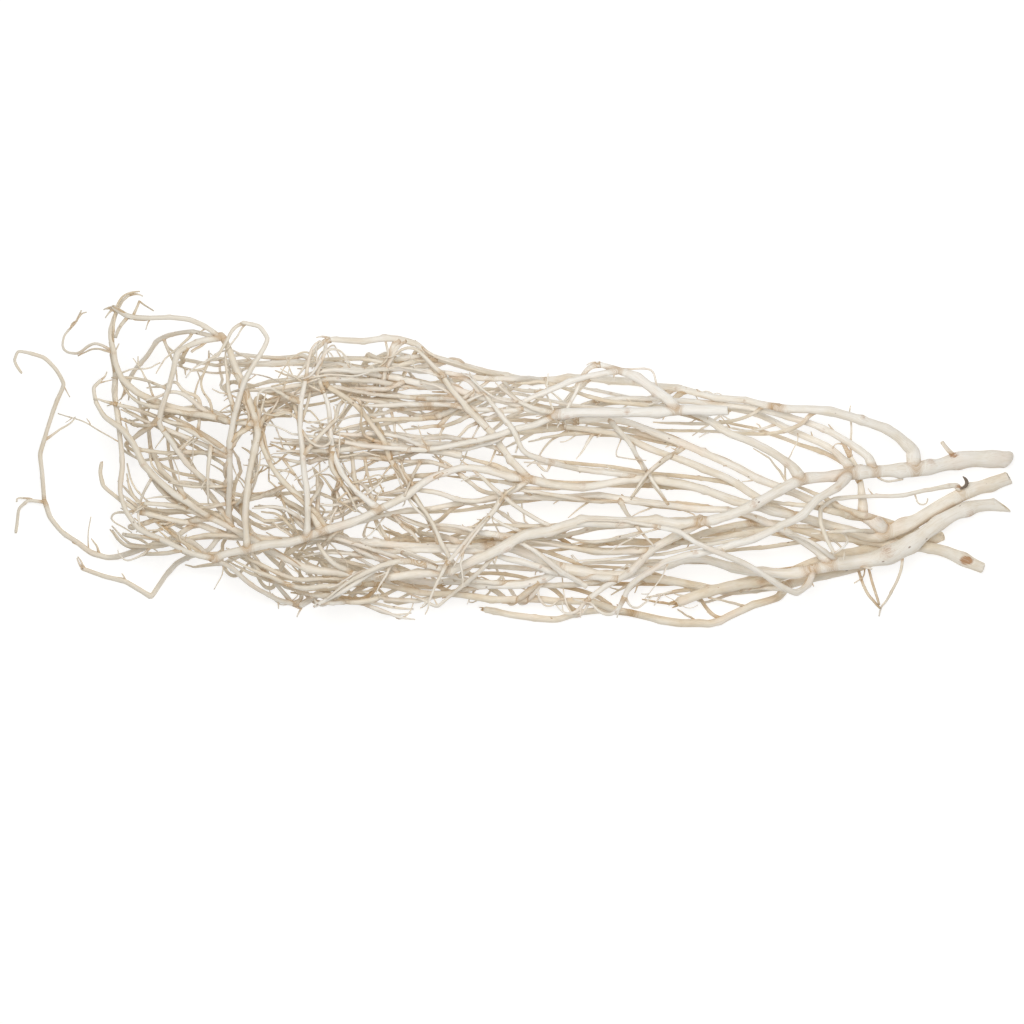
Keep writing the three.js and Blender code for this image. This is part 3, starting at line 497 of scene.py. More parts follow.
# For each twig: its radius at the base and at the tip, how far up the heap it lies, where 1 is on top of it,
# and the places that it passes over in plan. Lengths are in millimetres.
LONG_TWIGS = (
    # From the middle of the bundle, over the top of it.
    (3.5, 3.0, 1, (158, -21), (119, -16), (95, -13), (47, -3), (12, 12), (4, 30), (-17, 58), (-37, 83),
     (-51, 104)),
    (2.0, 1.6, 1, (45, -8), (42, -14), (30, -5)),
    (3.5, 2.8, 1, (128, -49), (138, -65), (148, -79), (160, -93), (170, -104)),
    (3.0, 2.6, 1, (190, 5), (175, -7), (163, -17), (153, -33), (142, -48)),
    (3.5, 2.6, 1, (116, 50), (126, 36), (139, 21), (151, 0), (161, -14), (175, -35), (188, -53)),
    (3.5, 2.5, 0.8, (168, -111), (131, -109), (95, -107), (70, -104), (45, -100), (20, -97)),
    (3.0, 2.2, 0.8, (110, 32), (45, 28), (20, 22)),
    (2.5, 1.8, 0.7, (150, -88), (100, -97), (65, -93)),
    (3.0, 1.8, 1, (207, 10), (182, -1), (167, -12), (142, -45)),
    (2.5, 1.8, 0.9, (164, -27), (187, -54)),
    (2.2, 1.6, 1, (142, 24), (149, 6), (156, -12)),
    (1.8, 1.2, 0.6, (320, 41), (287, 36), (258, 41)),
    (0.9, 0.8, 1, (129, 18), (126, 4), (138, 2), (160, -1)),
    (1.5, 1.2, 0.9, (98, 116), (131, 109), (167, 106), (173, 86)),
    (1.8, 1.2, 0.8, (284, -176), (236, -165)),
    (1.5, 1.0, 0.6, (229, -185), (200, -180)),
    (5.6, 4.4, 0.5, (232, -70), (190, -72), (146, -74), (106, -78), (58, -90), (20, -96)),
    (4.4, 3.4, 0.55, (210, -104), (170, -98), (120, -98), (70, -104), (30, -112)),
    # Along the far side, nearly straight and side by side.
    (3.5, 2.5, 0.85, (45, 92), (12, 97), (-40, 98), (-80, 103), (-150, 107), (-180, 104), (-215, 106),
     (-270, 94)),
    (3.6, 3.0, 0.7, (-100, 92), (-130, 97), (-160, 101), (-190, 107), (-220, 103), (-245, 92), (-262, 84)),
    (3.4, 2.6, 0.8, (-85, 82), (-125, 88), (-150, 92), (-180, 94), (-210, 94), (-240, 90), (-280, 84),
     (-320, 82)),
    (3.0, 2.4, 0.75, (-60, 74), (-100, 73), (-130, 76), (-160, 79), (-190, 84), (-215, 88), (-240, 84),
     (-290, 72)),
    (3.5, 2.5, 0.9, (45, 66), (20, 62), (0, 58), (-30, 60), (-90, 67), (-120, 66), (-160, 64), (-200, 68)),
    (3.0, 2.4, 0.6, (-40, 66), (-70, 64), (-110, 64), (-150, 72), (-185, 73), (-205, 80), (-240, 78)),
    (3.0, 2.2, 0.5, (-40, 74), (-70, 72), (-110, 72), (-150, 82), (-200, 99)),
    (2.8, 2.0, 0.8, (-100, 57), (-130, 62), (-158, 70), (-185, 73), (-205, 80)),
    (3.0, 2.0, 0.85, (-80, 52), (-135, 48), (-160, 47), (-185, 41), (-205, 35), (-215, 30)),
    (3.0, 2.0, 0.8, (-100, 22), (-130, 26), (-150, 30), (-175, 31), (-200, 32), (-225, 36), (-245, 38)),
    (4.5, 3.0, 0.85, (-60, 6), (-100, 12), (-125, 14), (-150, 18), (-175, 15), (-205, 11), (-235, 10),
     (-280, 10)),
    (4.0, 2.5, 0.7, (-120, 6), (-148, 8), (-170, 8), (-195, 5), (-220, 2), (-250, -3), (-290, 4)),
    (2.5, 1.8, 0.8, (-70, -4), (-100, -2), (-135, -2), (-160, 0), (-185, 2), (-205, -3)),
    (2.0, 1.2, 1, (-245, 38), (-238, 20), (-225, 15), (-215, 22), (-222, 32)),
    (2.5, 1.8, 1, (-215, 146), (-221, 140), (-222, 132), (-233, 107), (-240, 98), (-250, 95)),
    (1.5, 1.0, 0.9, (-151, 136), (-149, 121), (-161, 110)),
    (2.0, 1.4, 0.9, (10, 95), (-62, 114), (-106, 133), (-116, 143)),
    # Across the middle, in among the limbs.
    (4.0, 3.0, 1, (60, 50), (45, 55), (20, 62), (5, 70), (-5, 78), (-20, 92)),
    (4.5, 3.4, 0.9, (-30, 38), (-45, 55), (-58, 66), (-72, 77), (-85, 85), (-110, 93)),
    (4.0, 3.0, 0.95, (-90, 45), (-70, 60), (-55, 68), (-40, 75), (-20, 82)),
    (4.0, 3.2, 0.7, (20, -18), (0, -15), (-20, -5), (-40, 0), (-60, 5), (-78, 8)),
    (4.0, 3.0, 0.6, (60, 36), (30, 35), (0, 33), (-30, 26), (-60, 18), (-90, 18), (-130, 8)),
    (2.5, 1.8, 0.8, (0, 24), (-20, 22), (-30, 20), (-60, 12), (-90, 10)),
    (3.5, 2.8, 0.8, (10, -38), (-10, -42), (-25, -46), (-50, -50), (-70, -46), (-90, -40), (-110, -36),
     (-160, -42)),
    (3.0, 2.2, 0.85, (-10, -42), (-35, -37), (-45, -30), (-60, -18), (-75, -5), (-95, 4)),
    (3.0, 2.2, 0.9, (-100, -30), (-80, -15), (-70, -12), (-55, -14)),
    (2.0, 1.4, 1, (-15, -55), (-5, -38), (5, -30)),
    (2.5, 1.8, 0.7, (-50, 50), (-78, 42), (-100, 40), (-130, 36)),
    (3.0, 2.2, 0.9, (-35, 80), (-50, 92), (-75, 100)),
    (2.0, 1.2, 0.9, (5, 33), (8, 20), (4, 8)),
    (2.8, 2.0, 0.9, (-66, -128), (-82, -104), (-96, -72), (-115, -45), (-137, -4)),
    (4.2, 3.2, 0.8, (50, -88), (6, -92), (-30, -88), (-70, -80), (-102, -78)),
    (4.2, 3.0, 0.75, (130, -152), (66, -136), (10, -120), (-30, -112), (-94, -108), (-166, -108),
     (-214, -96)),
    (2.2, 1.6, 1, (-14, -48), (-30, -72), (-54, -104), (-70, -128)),
    (3.6, 2.8, 0.85, (90, -152), (58, -132), (26, -108), (2, -96), (-20, -90)),
    (3.4, 2.6, 0.6, (130, -136), (98, -148), (26, -152), (-30, -148), (-86, -136), (-134, -112)),
    (2.8, 2.0, 0.95, (50, -72), (6, -56), (-14, -40), (-38, -20), (-62, 0)),
    (3.2, 2.4, 0.8, (130, -52), (78, -48), (26, -40), (-10, -36)),
    (2.2, 1.6, 0.9, (26, -88), (-6, -80), (-30, -64)),
    (1.0, 0.8, 1, (-140, -22), (-165, -25), (-187, -28)),
    (1.2, 0.8, 1, (-148, -10), (-156, -22), (-165, -35)),
    (2.0, 1.4, 1, (-108, -5), (-122, -28), (-128, -44)),
    (3.0, 2.2, 0.9, (-137, 0), (-122, -25), (-115, -35)),
    (2.0, 1.4, 0.9, (-175, -5), (-172, -20), (-165, -37)),
    (4.5, 3.6, 0.95, (-222, 8), (-215, -5), (-205, -25), (-195, -40), (-184, -62)),
    (3.0, 2.2, 0.9, (-160, -58), (-175, -45), (-195, -25), (-204, -12)),
    (2.5, 1.8, 0.8, (-250, 40), (-245, 60), (-240, 80)),
    (2.0, 1.4, 0.7, (-270, 0), (-258, -20), (-245, -40)),
    # Along the near side.
    (3.5, 2.6, 1, (-100, -121), (-130, -121), (-155, -126), (-168, -132), (-185, -140), (-200, -150),
     (-222, -166)),
    (2.6, 2.0, 0.5, (-228, -173), (-184, -172), (-158, -180), (-137, -188), (-117, -192)),
    (3.5, 2.4, 0.8, (-165, -148), (-195, -150), (-225, -152), (-254, -153), (-290, -139), (-312, -131),
     (-337, -117)),
    (3.2, 2.4, 0.8, (-130, -120), (-160, -110), (-190, -100), (-215, -94), (-250, -96)),
    (3.0, 2.2, 0.75, (-140, -122), (-160, -118), (-180, -110), (-200, -100), (-230, -98)),
    (3.4, 2.6, 1, (-190, -134), (-200, -130), (-210, -125), (-225, -110), (-232, -100)),
    (2.5, 1.8, 0.9, (-143, -70), (-130, -80), (-118, -90), (-112, -99)),
    (2.0, 1.5, 0.8, (-140, -68), (-120, -75), (-105, -80), (-80, -82)),
    (3.5, 2.6, 0.9, (-222, -75), (-232, -65), (-250, -50), (-270, -30), (-282, -18)),
    (3.8, 2.8, 0.8, (-215, -86), (-240, -80), (-250, -72), (-265, -62), (-280, -57), (-310, -58)),
    (2.5, 1.8, 0.7, (-230, -94), (-250, -90), (-262, -82), (-280, -66), (-300, -62)),
    (3.0, 2.4, 0.8, (-165, -40), (-180, -45), (-195, -50), (-215, -55), (-240, -50)),
    (2.5, 1.8, 0.9, (-210, -30), (-212, -45), (-215, -60), (-218, -75)),
    (3.0, 2.4, 0.6, (-160, -165), (-180, -170), (-210, -168), (-240, -160), (-262, -156)),
    (3.2, 2.6, 0.8, (-100, -36), (-125, -35), (-140, -38), (-160, -42), (-170, -42)),
    # The left end, where they cross every way.
    (1.8, 1.2, 0.9, (-467, 132), (-498, 138), (-522, 126), (-536, 132), (-536, 148), (-524, 166),
     (-518, 180)),
    (1.4, 1.0, 0.88, (-470, 128), (-498, 132), (-518, 124)),
    (1.0, 0.7, 0.9, (-521, 170), (-515, 177), (-512, 178)),
    (1.0, 0.7, 0.9, (-532, 160), (-526, 166), (-522, 167)),
    (1.8, 1.0, 0.9, (-474, 92), (-475, 136), (-473, 164), (-470, 182), (-463, 194), (-454, 199), (-443, 200)),
    (1.8, 1.5, 0.95, (-450, 168), (-445, 180), (-442, 188)),
    (1.2, 0.9, 0.95, (-442, 188), (-434, 182), (-428, 178)),
    (1.0, 0.8, 0.8, (-474, 20), (-494, 36), (-518, 48), (-546, 56)),
    (0.9, 0.7, 0.5, (-539, 90), (-532, 76)),
    (0.9, 0.7, 0.3, (-509, -104), (-512, -86), (-509, -68)),
    (0.8, 0.6, 0.9, (-342, -122), (-346, -138), (-356, -155)),
    (1.8, 1.2, 0.95, (-384, 174), (-419, 168), (-443, 166), (-474, 182)),
    (1.2, 0.9, 0.9, (-472, 102), (-455, 108), (-438, 108), (-420, 116)),
    (2.5, 1.8, 0.9, (-455, 165), (-466, 156), (-471, 145)),
    (4.0, 2.4, 0.85, (-335, 48), (-366, 52), (-414, 60), (-452, 74), (-468, 96)),
    (3.2, 2.2, 0.8, (-335, 4), (-374, 20), (-422, 40), (-467, 60)),
    (2.8, 1.8, 0.75, (-335, 4), (-374, 8), (-422, 8), (-452, 14), (-466, 34), (-470, 60)),
    (3.5, 2.4, 0.85, (-340, 15), (-365, 28), (-380, 36), (-395, 42), (-410, 46), (-440, 58)),
    (3.0, 2.2, 0.9, (-345, 50), (-370, 62), (-378, 68), (-388, 76), (-400, 80), (-420, 75), (-436, 70)),
    (3.0, 2.2, 0.7, (-330, 42), (-360, 52), (-380, 57), (-400, 55), (-430, 52)),
    (2.0, 1.4, 0.8, (-412, 85), (-430, 92), (-450, 97), (-478, 98)),
    (1.8, 1.2, 1, (-352, 62), (-360, 70), (-368, 82), (-370, 92), (-366, 105), (-362, 115), (-362, 130)),
    (2.0, 1.5, 0.95, (-345, 84), (-352, 88), (-350, 98), (-353, 108), (-352, 125)),
    (2.6, 2.0, 0.9, (-335, 60), (-336, 80), (-338, 100), (-340, 115), (-340, 130)),
    (1.8, 1.4, 1, (-355, 115), (-365, 110), (-375, 107), (-384, 106)),
    (1.8, 1.5, 1, (-360, 138), (-370, 133), (-380, 127)),
    (4.0, 3.0, 0.85, (-316, 85), (-313, 70), (-308, 50), (-305, 30), (-305, 10), (-308, 0), (-314, -30)),
    (2.0, 1.4, 0.9, (-310, 88), (-318, 70), (-312, 50), (-316, 36)),
    (2.5, 1.8, 0.7, (-340, 0), (-342, -14), (-340, -30), (-348, -36)),
    (2.4, 1.8, 0.9, (-262, 58), (-285, 52), (-298, 45), (-295, 30), (-290, 10), (-282, -4)),
    (3.4, 2.6, 0.7, (-255, 68), (-270, 72), (-285, 70), (-300, 68), (-330, 62)),
    (1.0, 0.8, 0.9, (-270, 94), (-285, 96), (-300, 100), (-315, 102)),
    (2.6, 1.6, 0.6, (-335, -36), (-374, -28), (-414, -22), (-430, -8), (-436, 14)),
    (2.8, 1.8, 0.7, (-266, -28), (-300, -44), (-335, -52), (-390, -60), (-440, -56), (-456, -40),
     (-462, -16)),
    (3.0, 2.4, 0.7, (-359, -120), (-374, -104), (-407, -88), (-443, -60), (-470, -40)),
    (3.0, 1.8, 0.6, (-266, -88), (-330, -92), (-374, -92), (-434, -104), (-466, -100), (-480, -84)),
    (2.8, 2.2, 1, (-362, 10), (-362, -22), (-362, -52)),
    (4.0, 2.8, 0.8, (-390, -60), (-407, -40), (-434, -12), (-455, 20), (-462, 44)),
    (3.0, 2.2, 0.6, (-266, -156), (-294, -140), (-318, -112), (-330, -98)),
    (2.0, 1.5, 0.9, (-340, -31), (-376, -32), (-410, -27)),
    (2.0, 1.5, 0.8, (-430, -20), (-440, -40), (-447, -60), (-444, -84)),
    (1.5, 1.1, 0.8, (-400, -80), (-415, -82), (-428, -85)),
    (1.5, 1.2, 0.9, (-378, -106), (-390, -100), (-396, -95), (-396, -85)),
    (2.2, 1.6, 0.7, (-420, 41), (-435, 40), (-450, 42), (-470, 50)),
    # The butts' end: fine spurs, a forked twig, and a knotted stub on the topmost stem.
    (1.9, 1.6, 0.9, (419, -128), (421, -142), (425, -154), (432, -166), (439, -174), (443, -178)),
    (1.8, 1.5, 0.9, (431, -126), (433, -142), (437, -158), (442, -174)),
    (1.9, 1.5, 0.9, (474, -112), (468, -132), (460, -152), (451, -169), (445, -178), (443, -188)),
    (2.8, 2.3, 1, (540, -2), (532, 6), (524, 14), (517, 22)),
    (1.5, 1.2, 0.8, (430, -25), (450, -26), (470, -23)),
    (1.2, 0.8, 1, (407, 9), (399, 18), (390, 20), (385, 14)),
    (2.1, 1.4, 1, (386, -112), (400, -121), (416, -127), (433, -131)),
    (1.2, 0.9, 1, (416, -127), (426, -122), (431, -124)),
    (1.1, 0.8, 1, (486, -46), (491, -53), (498, -53), (500, -46)),
    (1.1, 0.8, 1, (428, -128), (424, -140), (412, -148)),
    (1.0, 0.8, 1, (300, -34), (288, -24), (276, -26)),
    (4.6, 3.6, 0.5, (474, -84), (442, -72), (402, -60), (370, -42), (340, -32), (322, -28)),
    (4.0, 3.2, 0.6, (426, -72), (394, -64), (362, -56), (322, -52), (290, -46)),
    (3.4, 2.6, 0.8, (394, -120), (378, -112), (346, -92), (322, -88)),
    (1.6, 1.2, 1, (382, -76), (402, -96), (386, -112)),
    (2.6, 2.0, 0.9, (454, -92), (402, -84), (358, -88)),
    (1.4, 1.0, 1, (372, -90), (388, -98), (398, -112), (396, -120)),
)


def heap_height(plan, reach):
    """How high the wood laid so far stands at each place in plan, within a reach of it."""
    gap = np.hypot(plan[:, None, 0] - heap[None, :, 0], plan[:, None, 1] - heap[None, :, 1])
    return np.where(gap < reach + heap[:, 3], heap[:, 2] + heap[:, 3], 0).max(axis=1)


def add_twig(branch, line, radii, seed, warmth):
    """Keeps a twig's line with its radii, until the branch's twigs are made as one piece."""
    twig_lines[branch].append((line, radii, seed, warmth))


def root_on_limb(place, reach):
    """The place that a twig grows from, on a limb or else on a twig laid before it, and its branch."""
    limbs = heap[:len(heap_branch)]
    gap = np.hypot(limbs[:, 0] - place[0], limbs[:, 1] - place[1]) - limbs[:, 3]
    nearest = int(gap.argmin())
    if gap[nearest] < reach:
        return heap[nearest, :3], int(heap_branch[nearest])
    for branch, line, _, _ in laid_lines:
        closest = min(line, key=lambda other: math.dist(other[:2], place[:2]))
        if math.dist(closest[:2], place[:2]) < reach:
            return np.array(closest), branch
    return None, int(heap_branch[nearest])


long_rng = random.Random(7)
# Beyond the middle, most of them have thinner companions that run beside them a little lower.
CROWDED_FROM, LEFT_END_FROM = -55, -320
laid_twigs, laid_lines = list(LONG_TWIGS), []
for thick, thin, lie, *points in LONG_TWIGS:
    if thick >= 2.2 and lie < 1 and points[0][0] < CROWDED_FROM and len(points) > 3:
        for side in (-1,) if points[0][0] < LEFT_END_FROM else (-1, 1):
            start_aside, end_aside = side * long_rng.uniform(-6, 14), side * long_rng.uniform(-16, 22)
            aside = np.linspace(start_aside, end_aside, len(points))
            beside = [(x + long_rng.uniform(-5, 5), y + gap + long_rng.uniform(-2, 2))
                      for (x, y), gap in zip(points, aside)]
            size, drop = long_rng.uniform(0.6, 0.95), long_rng.uniform(0.05, 0.4)
            beside = beside[long_rng.randint(0, 1):]
            laid_twigs.append((thick * size, thin * size, max(0.3, lie - drop), *beside))
for thick, thin, lie, *points in laid_twigs:
    plan = [(x * MM + LAID_FROM[0], y * MM + LAID_FROM[1], 0) for x, y in points]
    root, branch = root_on_limb(plan[0], 8 * MM)
    if root is not None:
        plan[0] = (root[0], root[1], 0)
    line, radius, along = flowing_line(plan, np.linspace(thick, thin, len(plan)) * MM, 6 * MM)
    # A stiff twig bridges the gaps between what it lies on.
    sag = BEND_LIMIT * (along[:, None] - along[None, :]) ** 2
    height = (heap_height(line, thick * MM) - sag).max(axis=1) + 0.9 * radius
    height = np.clip(height * lie, radius + 0.2 * MM, top - 1.5 * radius)
    if root is not None:
        risen = np.clip(along / (45 * MM), 0, 1)
        height = root[2] + (height - root[2]) * risen**2 * (3 - 2 * risen)
    line[:, 2] = height
    wander = np.cumsum([long_rng.gauss(0, 0.35) for _ in along])
    line[:, 1] += (wander - np.linspace(0, wander[-1], len(wander))) * MM
    if lie == 1:
        heap = np.vstack((heap, np.column_stack((line, radius))))
    if along[-1] > 60 * MM:
        radius = np.minimum(radius, 0.9 * MM + 0.035 * (along[-1] - along))
    seed, line = long_rng.random(), [Vector(place) for place in line]
    add_twig(branch, line, radius, seed, long_rng.uniform(-0.1, 0.3))
    laid_lines.append((branch, line, radius, seed))

# ----------------------------------------------------------------------
# The side twigs: the smaller shoots in among the limbs, and the spurs, stubs and fine ends that stand off
# them. Where they grow is left to chance, but they keep to the bundle's outline and to the way that it grew.

# The bundle's edges in plan, and how many of the side twigs are there, by x. All places are in millimetres.
OUTLINE_X = [-600, -540, -480, -440, -350, -300, -250, -110, 0, 130, 300, 440, 500, 610]
OUTLINE_LOW = [-90, -100, -125, -140, -140, -160, -175, -185, -180, -188, -178, -135, -110, -60]
OUTLINE_HIGH = [120, 120, 168, 178, 160, 158, 135, 142, 106, 106, 70, 46, 20, 8]
TWIGGINESS_X = [-600, -500, -460, -100, 0, 250, 330, 420, 520]
TWIGGINESS = [0.12, 0.2, 0.26, 0.34, 0.3, 0.25, 0.2, 0.1, 0.02]


def grown_line(start, heading, length, rng, curl, kink, level, follow=0.0, step=6 * MM):
    """The line of a twig as it grew: it kinks at its nodes, wanders, stays within the bundle and settles."""
    point, heading, turn, to_node = start.copy(), heading.normalized(), Vector(), rng.uniform(1, 5)
    far_side = min(start.x - 25 * MM, -462 * MM)
    line = [point.copy()]
    for _ in range(max(3, round(length / step))):
        turn = turn * 0.7 + Vector((rng.gauss(0, 1), rng.gauss(0, 1), rng.gauss(0, 0.4))) * curl
        to_node -= 1
        if to_node < 0:
            to_node = rng.uniform(3, 8)
            heading = heading + Vector((rng.gauss(0, 1), rng.gauss(0, 1), rng.gauss(0, 0.3))) * kink
        x, y = point.x / MM, point.y / MM
        spread = float(np.interp(x, [-350, 100, 250, 450], [0.0, 0.02, 0.2, 0.4]))
        flow = Vector((-1, (y + 45) / 100 * spread, 0)).normalized()
        low, high = float(np.interp(x, OUTLINE_X, OUTLINE_LOW)), float(np.interp(x, OUTLINE_X, OUTLINE_HIGH))
        steer = Vector((0, 0, (level - point.z) * 3.5)) + (flow - heading) * follow
        steer.y += 0.35 * (y < low + 12) - 0.35 * (y > high - 12)
        steer.x += 0.35 * (point.x < far_side)
        heading = (heading + turn + steer).normalized()
        point = point + heading * step
        point.x = max(point.x, cad_box[0].x + 4 * MM)
        point.y = min(max(point.y, cad_box[0].y + 4 * MM), cad_box[1].y - 4 * MM)
        point.z = min(max(point.z, 4 * MM), top - 6 * MM)
        line.append(point.copy())
        if len(line) > 3 and not low - 8 < y < high + 8:
            break
    return line


def tapered(line, thick, thin):
    """The radii along a twig, from thick at its swollen base to thin at its tip."""
    share = np.linspace(0, 1, len(line))
    radii = thin + (thick - thin) * (1 - share) ** 0.85
    to_tip = (line[-1] - line[-2]).length * np.arange(len(line) - 1, -1, -1)
    radii = np.minimum(radii, 0.7 * MM + 0.05 * to_tip)
    return radii * (1 + 0.25 * np.exp(-((share * len(line) / 1.2) ** 2)))


def side_twigs(branch, line, radii, rng, share=1.0, depth=0):
    """Fine twigs along a line, on alternate sides, each with finer ones of its own."""
    distance, side = rng.uniform(8, 24) * MM, rng.choice((-1, 1))
    for (a, b), radius in zip(zip(line, line[1:]), radii):
        distance -= (b - a).length
        if distance > 0:
            continue
        distance = rng.uniform(14, 40) * MM
        side = -side
        if rng.random() > share * float(np.interp(a.x / MM, TWIGGINESS_X, TWIGGINESS)):
            continue
        forward = (b - a).normalized()
        sideways = forward.cross(Vector((0, 0, 1))).normalized() * side
        heading = forward + sideways * rng.uniform(0.4, 1.3) + Vector((0, 0, rng.uniform(-0.5, 0.6)))
        stub = rng.random() < (0.5 if a.x < 0 else 0.75)
        length = rng.uniform(3, 9) * MM if stub else (14 + 60 * rng.random() ** 1.4) * MM
        thick = min(float(radius) * 0.7, rng.uniform(1.1, 2.2) * MM)
        twig = grown_line(a, heading, length, rng, 0.04, 0.3, a.z + rng.uniform(-25, 15) * MM, 0.0, 4 * MM)
        add_twig(branch, twig, tapered(twig, thick, 0.85 * thick if stub else 0.65 * MM), rng.random(),
                 rng.uniform(-0.1, 0.3))
        if depth < 1 and not stub and length > 36 * MM:
            side_twigs(branch, twig, [thick * 0.8] * len(twig), rng, 0.6, depth + 1)


inner_rng = random.Random(41)
THINNEST_SOURCE = 3.2 * MM
sources = [
    (name, i) for name, (line, radius, _, _) in grown_limbs.items() for i in range(4, len(line) - 4, 3)
    if radius[i] > THINNEST_SOURCE
]
# For each stretch of the bundle, in millimetres: where it begins and ends, how many grow there, how far they
# lean out, how they curl and kink, how well they follow the bundle, and how long they are.
for start_low, start_high, count, lean, curl, kink, follow, reach in (
    (60, 430, 34, 0.22, 0.01, 0.07, 0.12, (150, 330)),
    (-130, 100, 44, 0.6, 0.014, 0.16, 0.04, (110, 260)),
    (-430, -120, 64, 1.0, 0.012, 0.24, 0.0, (90, 200)),
):
    stretch = [
        (name, i) for name, i in sources if start_low < grown_limbs[name][0][i][0] / MM < start_high
    ]
    for _ in range(count):
        name, i = inner_rng.choice(stretch)
        line, radius, _, _ = grown_limbs[name]
        forward = Vector(line[i + 2] - line[i - 2]).normalized()
        sideways = forward.cross(Vector((0, 0, 1))).normalized() * inner_rng.choice((-1, 1))
        heading = forward + sideways * inner_rng.uniform(0.1, lean)
        level = inner_rng.uniform(0.12, 0.85) * line[i][2]
        thick = min(0.85 * radius[i], inner_rng.uniform(2.2, 4.2) * MM)
        length = inner_rng.uniform(*reach) * MM
        inner = grown_line(Vector(line[i]), heading, length, inner_rng, curl, kink, level, follow)
        thin = inner_rng.uniform(1.1, 2.2) * MM
        seed = inner_rng.random()
        add_twig(int(name[7]), inner, tapered(inner, thick, thin), seed, inner_rng.uniform(0.0, 0.45))
        side_twigs(int(name[7]), inner, np.linspace(thick, thin, len(inner)), inner_rng, 0.7)

# The nest: fine twigs that wind round each other where the limbs start to turn every way.
nest_rng = random.Random(12)
nest = [(branch, line, radius) for branch, line, radius, _ in laid_lines if -330 < line[0].x / MM < -100]
nest += [(int(name[7]), [Vector(place) for place in line], radius)
         for name, (line, radius, _, _) in grown_limbs.items() if -300 < line[len(line) // 2][0] / MM < -120]
for _ in range(80):
    branch, line, radius = nest_rng.choice(nest)
    i = nest_rng.randrange(1, len(line) - 1)
    start = line[i]
    if not (-330 < start.x / MM < -130 and -60 < start.y / MM < 85):
        continue
    turn = nest_rng.uniform(0, 6.28)
    heading = Vector((math.cos(turn), math.sin(turn), nest_rng.uniform(-0.2, 0.5)))
    thick = min(0.8 * radius[i], nest_rng.uniform(1.3, 2.4) * MM)
    winding = grown_line(start, heading, nest_rng.uniform(30, 85) * MM, nest_rng, 0.07, 0.5,
                         start.z + nest_rng.uniform(-10, 25) * MM, 0.0, 4 * MM)
    seed = nest_rng.random()
    add_twig(branch, winding, tapered(winding, thick, 0.8 * MM), seed, nest_rng.uniform(0.0, 0.5))
    side_twigs(branch, winding, [thick] * len(winding), nest_rng, 0.35, 1)

# The long twigs carry side twigs too.
for branch, line, radius, _ in laid_lines:
    side_twigs(branch, line, radius, nest_rng, 0.3)

# A broken tip is left with a few splinters.
for name in BROKEN_TIPS:
    rng = random.Random(name + "_splinters")
    line, radius, _, _ = grown_limbs[name]
    forward, across, up = (axis[-1] for axis in carried_frames(line))
    for turn in np.arange(0, 6.2, 1.1) + rng.uniform(0, 1):
        outward = (math.cos(turn) * across + math.sin(turn) * up) * radius[-1]
        tilt = rng.uniform(0.0, 0.4)
        reach = rng.uniform(0.9, 2.2) * radius[-1]
        splinter = [Vector(line[-2] + 0.62 * outward + share * (forward * reach * 1.6 + tilt * outward))
                    for share in (-0.4, 0.0, 0.35, 0.7, 1.0)]
        thinning = np.array([0.42, 0.4, 0.34, 0.24, 0.1]) * radius[-1]
        add_twig(int(name[7]), splinter, thinning, rng.random(), 0.35)

BARE_ENDS_FROM, SHORT_ENDS_FROM = -560 * MM, -440 * MM
# So do the stems and limbs, and their free ends run out into two finer shoots.
for name, (line, radius, _, carries_on) in grown_limbs.items():
    rng = random.Random(name + "_twigs")
    spine = [Vector(place) for place in line[::2]]
    side_twigs(int(name[7]), spine, radius[::2], rng)
    if carries_on or name in BROKEN_TIPS + PLAIN_TIPS or line[-1][0] < BARE_ENDS_FROM:
        continue
    forward = Vector(line[-1] - line[-4]).normalized()
    for lean in (0.0, rng.uniform(0.5, 1.0) * rng.choice((-1, 1))):
        heading = forward + forward.cross(Vector((0, 0, 1))) * lean
        length = rng.uniform(35, 110) * MM * (0.3 if line[-1][0] < SHORT_ENDS_FROM else 1)
        thick = float(radius[-6]) * (0.95 if lean == 0 else 0.5)
        level = line[-1][2] + rng.uniform(-20, 10) * MM
        twig = grown_line(Vector(line[-3]), heading, length, rng, 0.03, 0.3, level)
        add_twig(int(name[7]), twig, tapered(twig, thick, 0.7 * MM), rng.random(), 0.1)
        side_twigs(int(name[7]), twig, np.linspace(thick, 0.6 * MM, len(twig)), rng)

# All the twigs of a branch are made as one piece. A stout twig has more sides than a fine one.
STOUT_TWIG = 1.5 * MM
# The twigs are painted with shade where they lie close to the limbs and the long twigs.
touch_tree = tree_of_rings([(line, radii, seed) for _, line, radii, seed in laid_lines])
for branch, twigs in twig_lines.items():
    if not twigs:
        continue
    bunch = bmesh.new()
    for line, radii, seed, warmth in twigs:
        rng = random.Random(seed)
        stout = radii[0] > STOUT_TWIG
        path, radius, along = flowing_line(line, radii, (3.6 if stout else 3.2) * MM)
        knots = [(rng.uniform(0, along[-1]), 2.2 * MM, rng.uniform(0.1, 0.4), rng.uniform(0, 6.28))
                 for _ in range(int(along[-1] / (26 * MM)))]
        piece = bent_bar(path, radius, along, rng, 9 if stout else 5, warmth, knots, lumps=0.07, owner=seed)
        bunch.from_mesh(piece)
        bpy.data.meshes.remove(piece)
    mesh = bpy.data.meshes.new(f"branch_{branch}_twigs")
    bunch.to_mesh(mesh)
    bunch.free()
    on_branch(f"branch_{branch}_twigs", mesh, branch_wood[branch])

# ----------------------------------------------------------------------
# The curl of bark: the one scrap that the peeling left, at the torn base of the thin stick on branch 2. It is
# dry, rough and nearly black, and it stands up like a thorn.

bark = bpy.data.materials.new("dry_bark")
bark.use_nodes = True
bark_surface = bark.node_tree.nodes["Principled BSDF"]
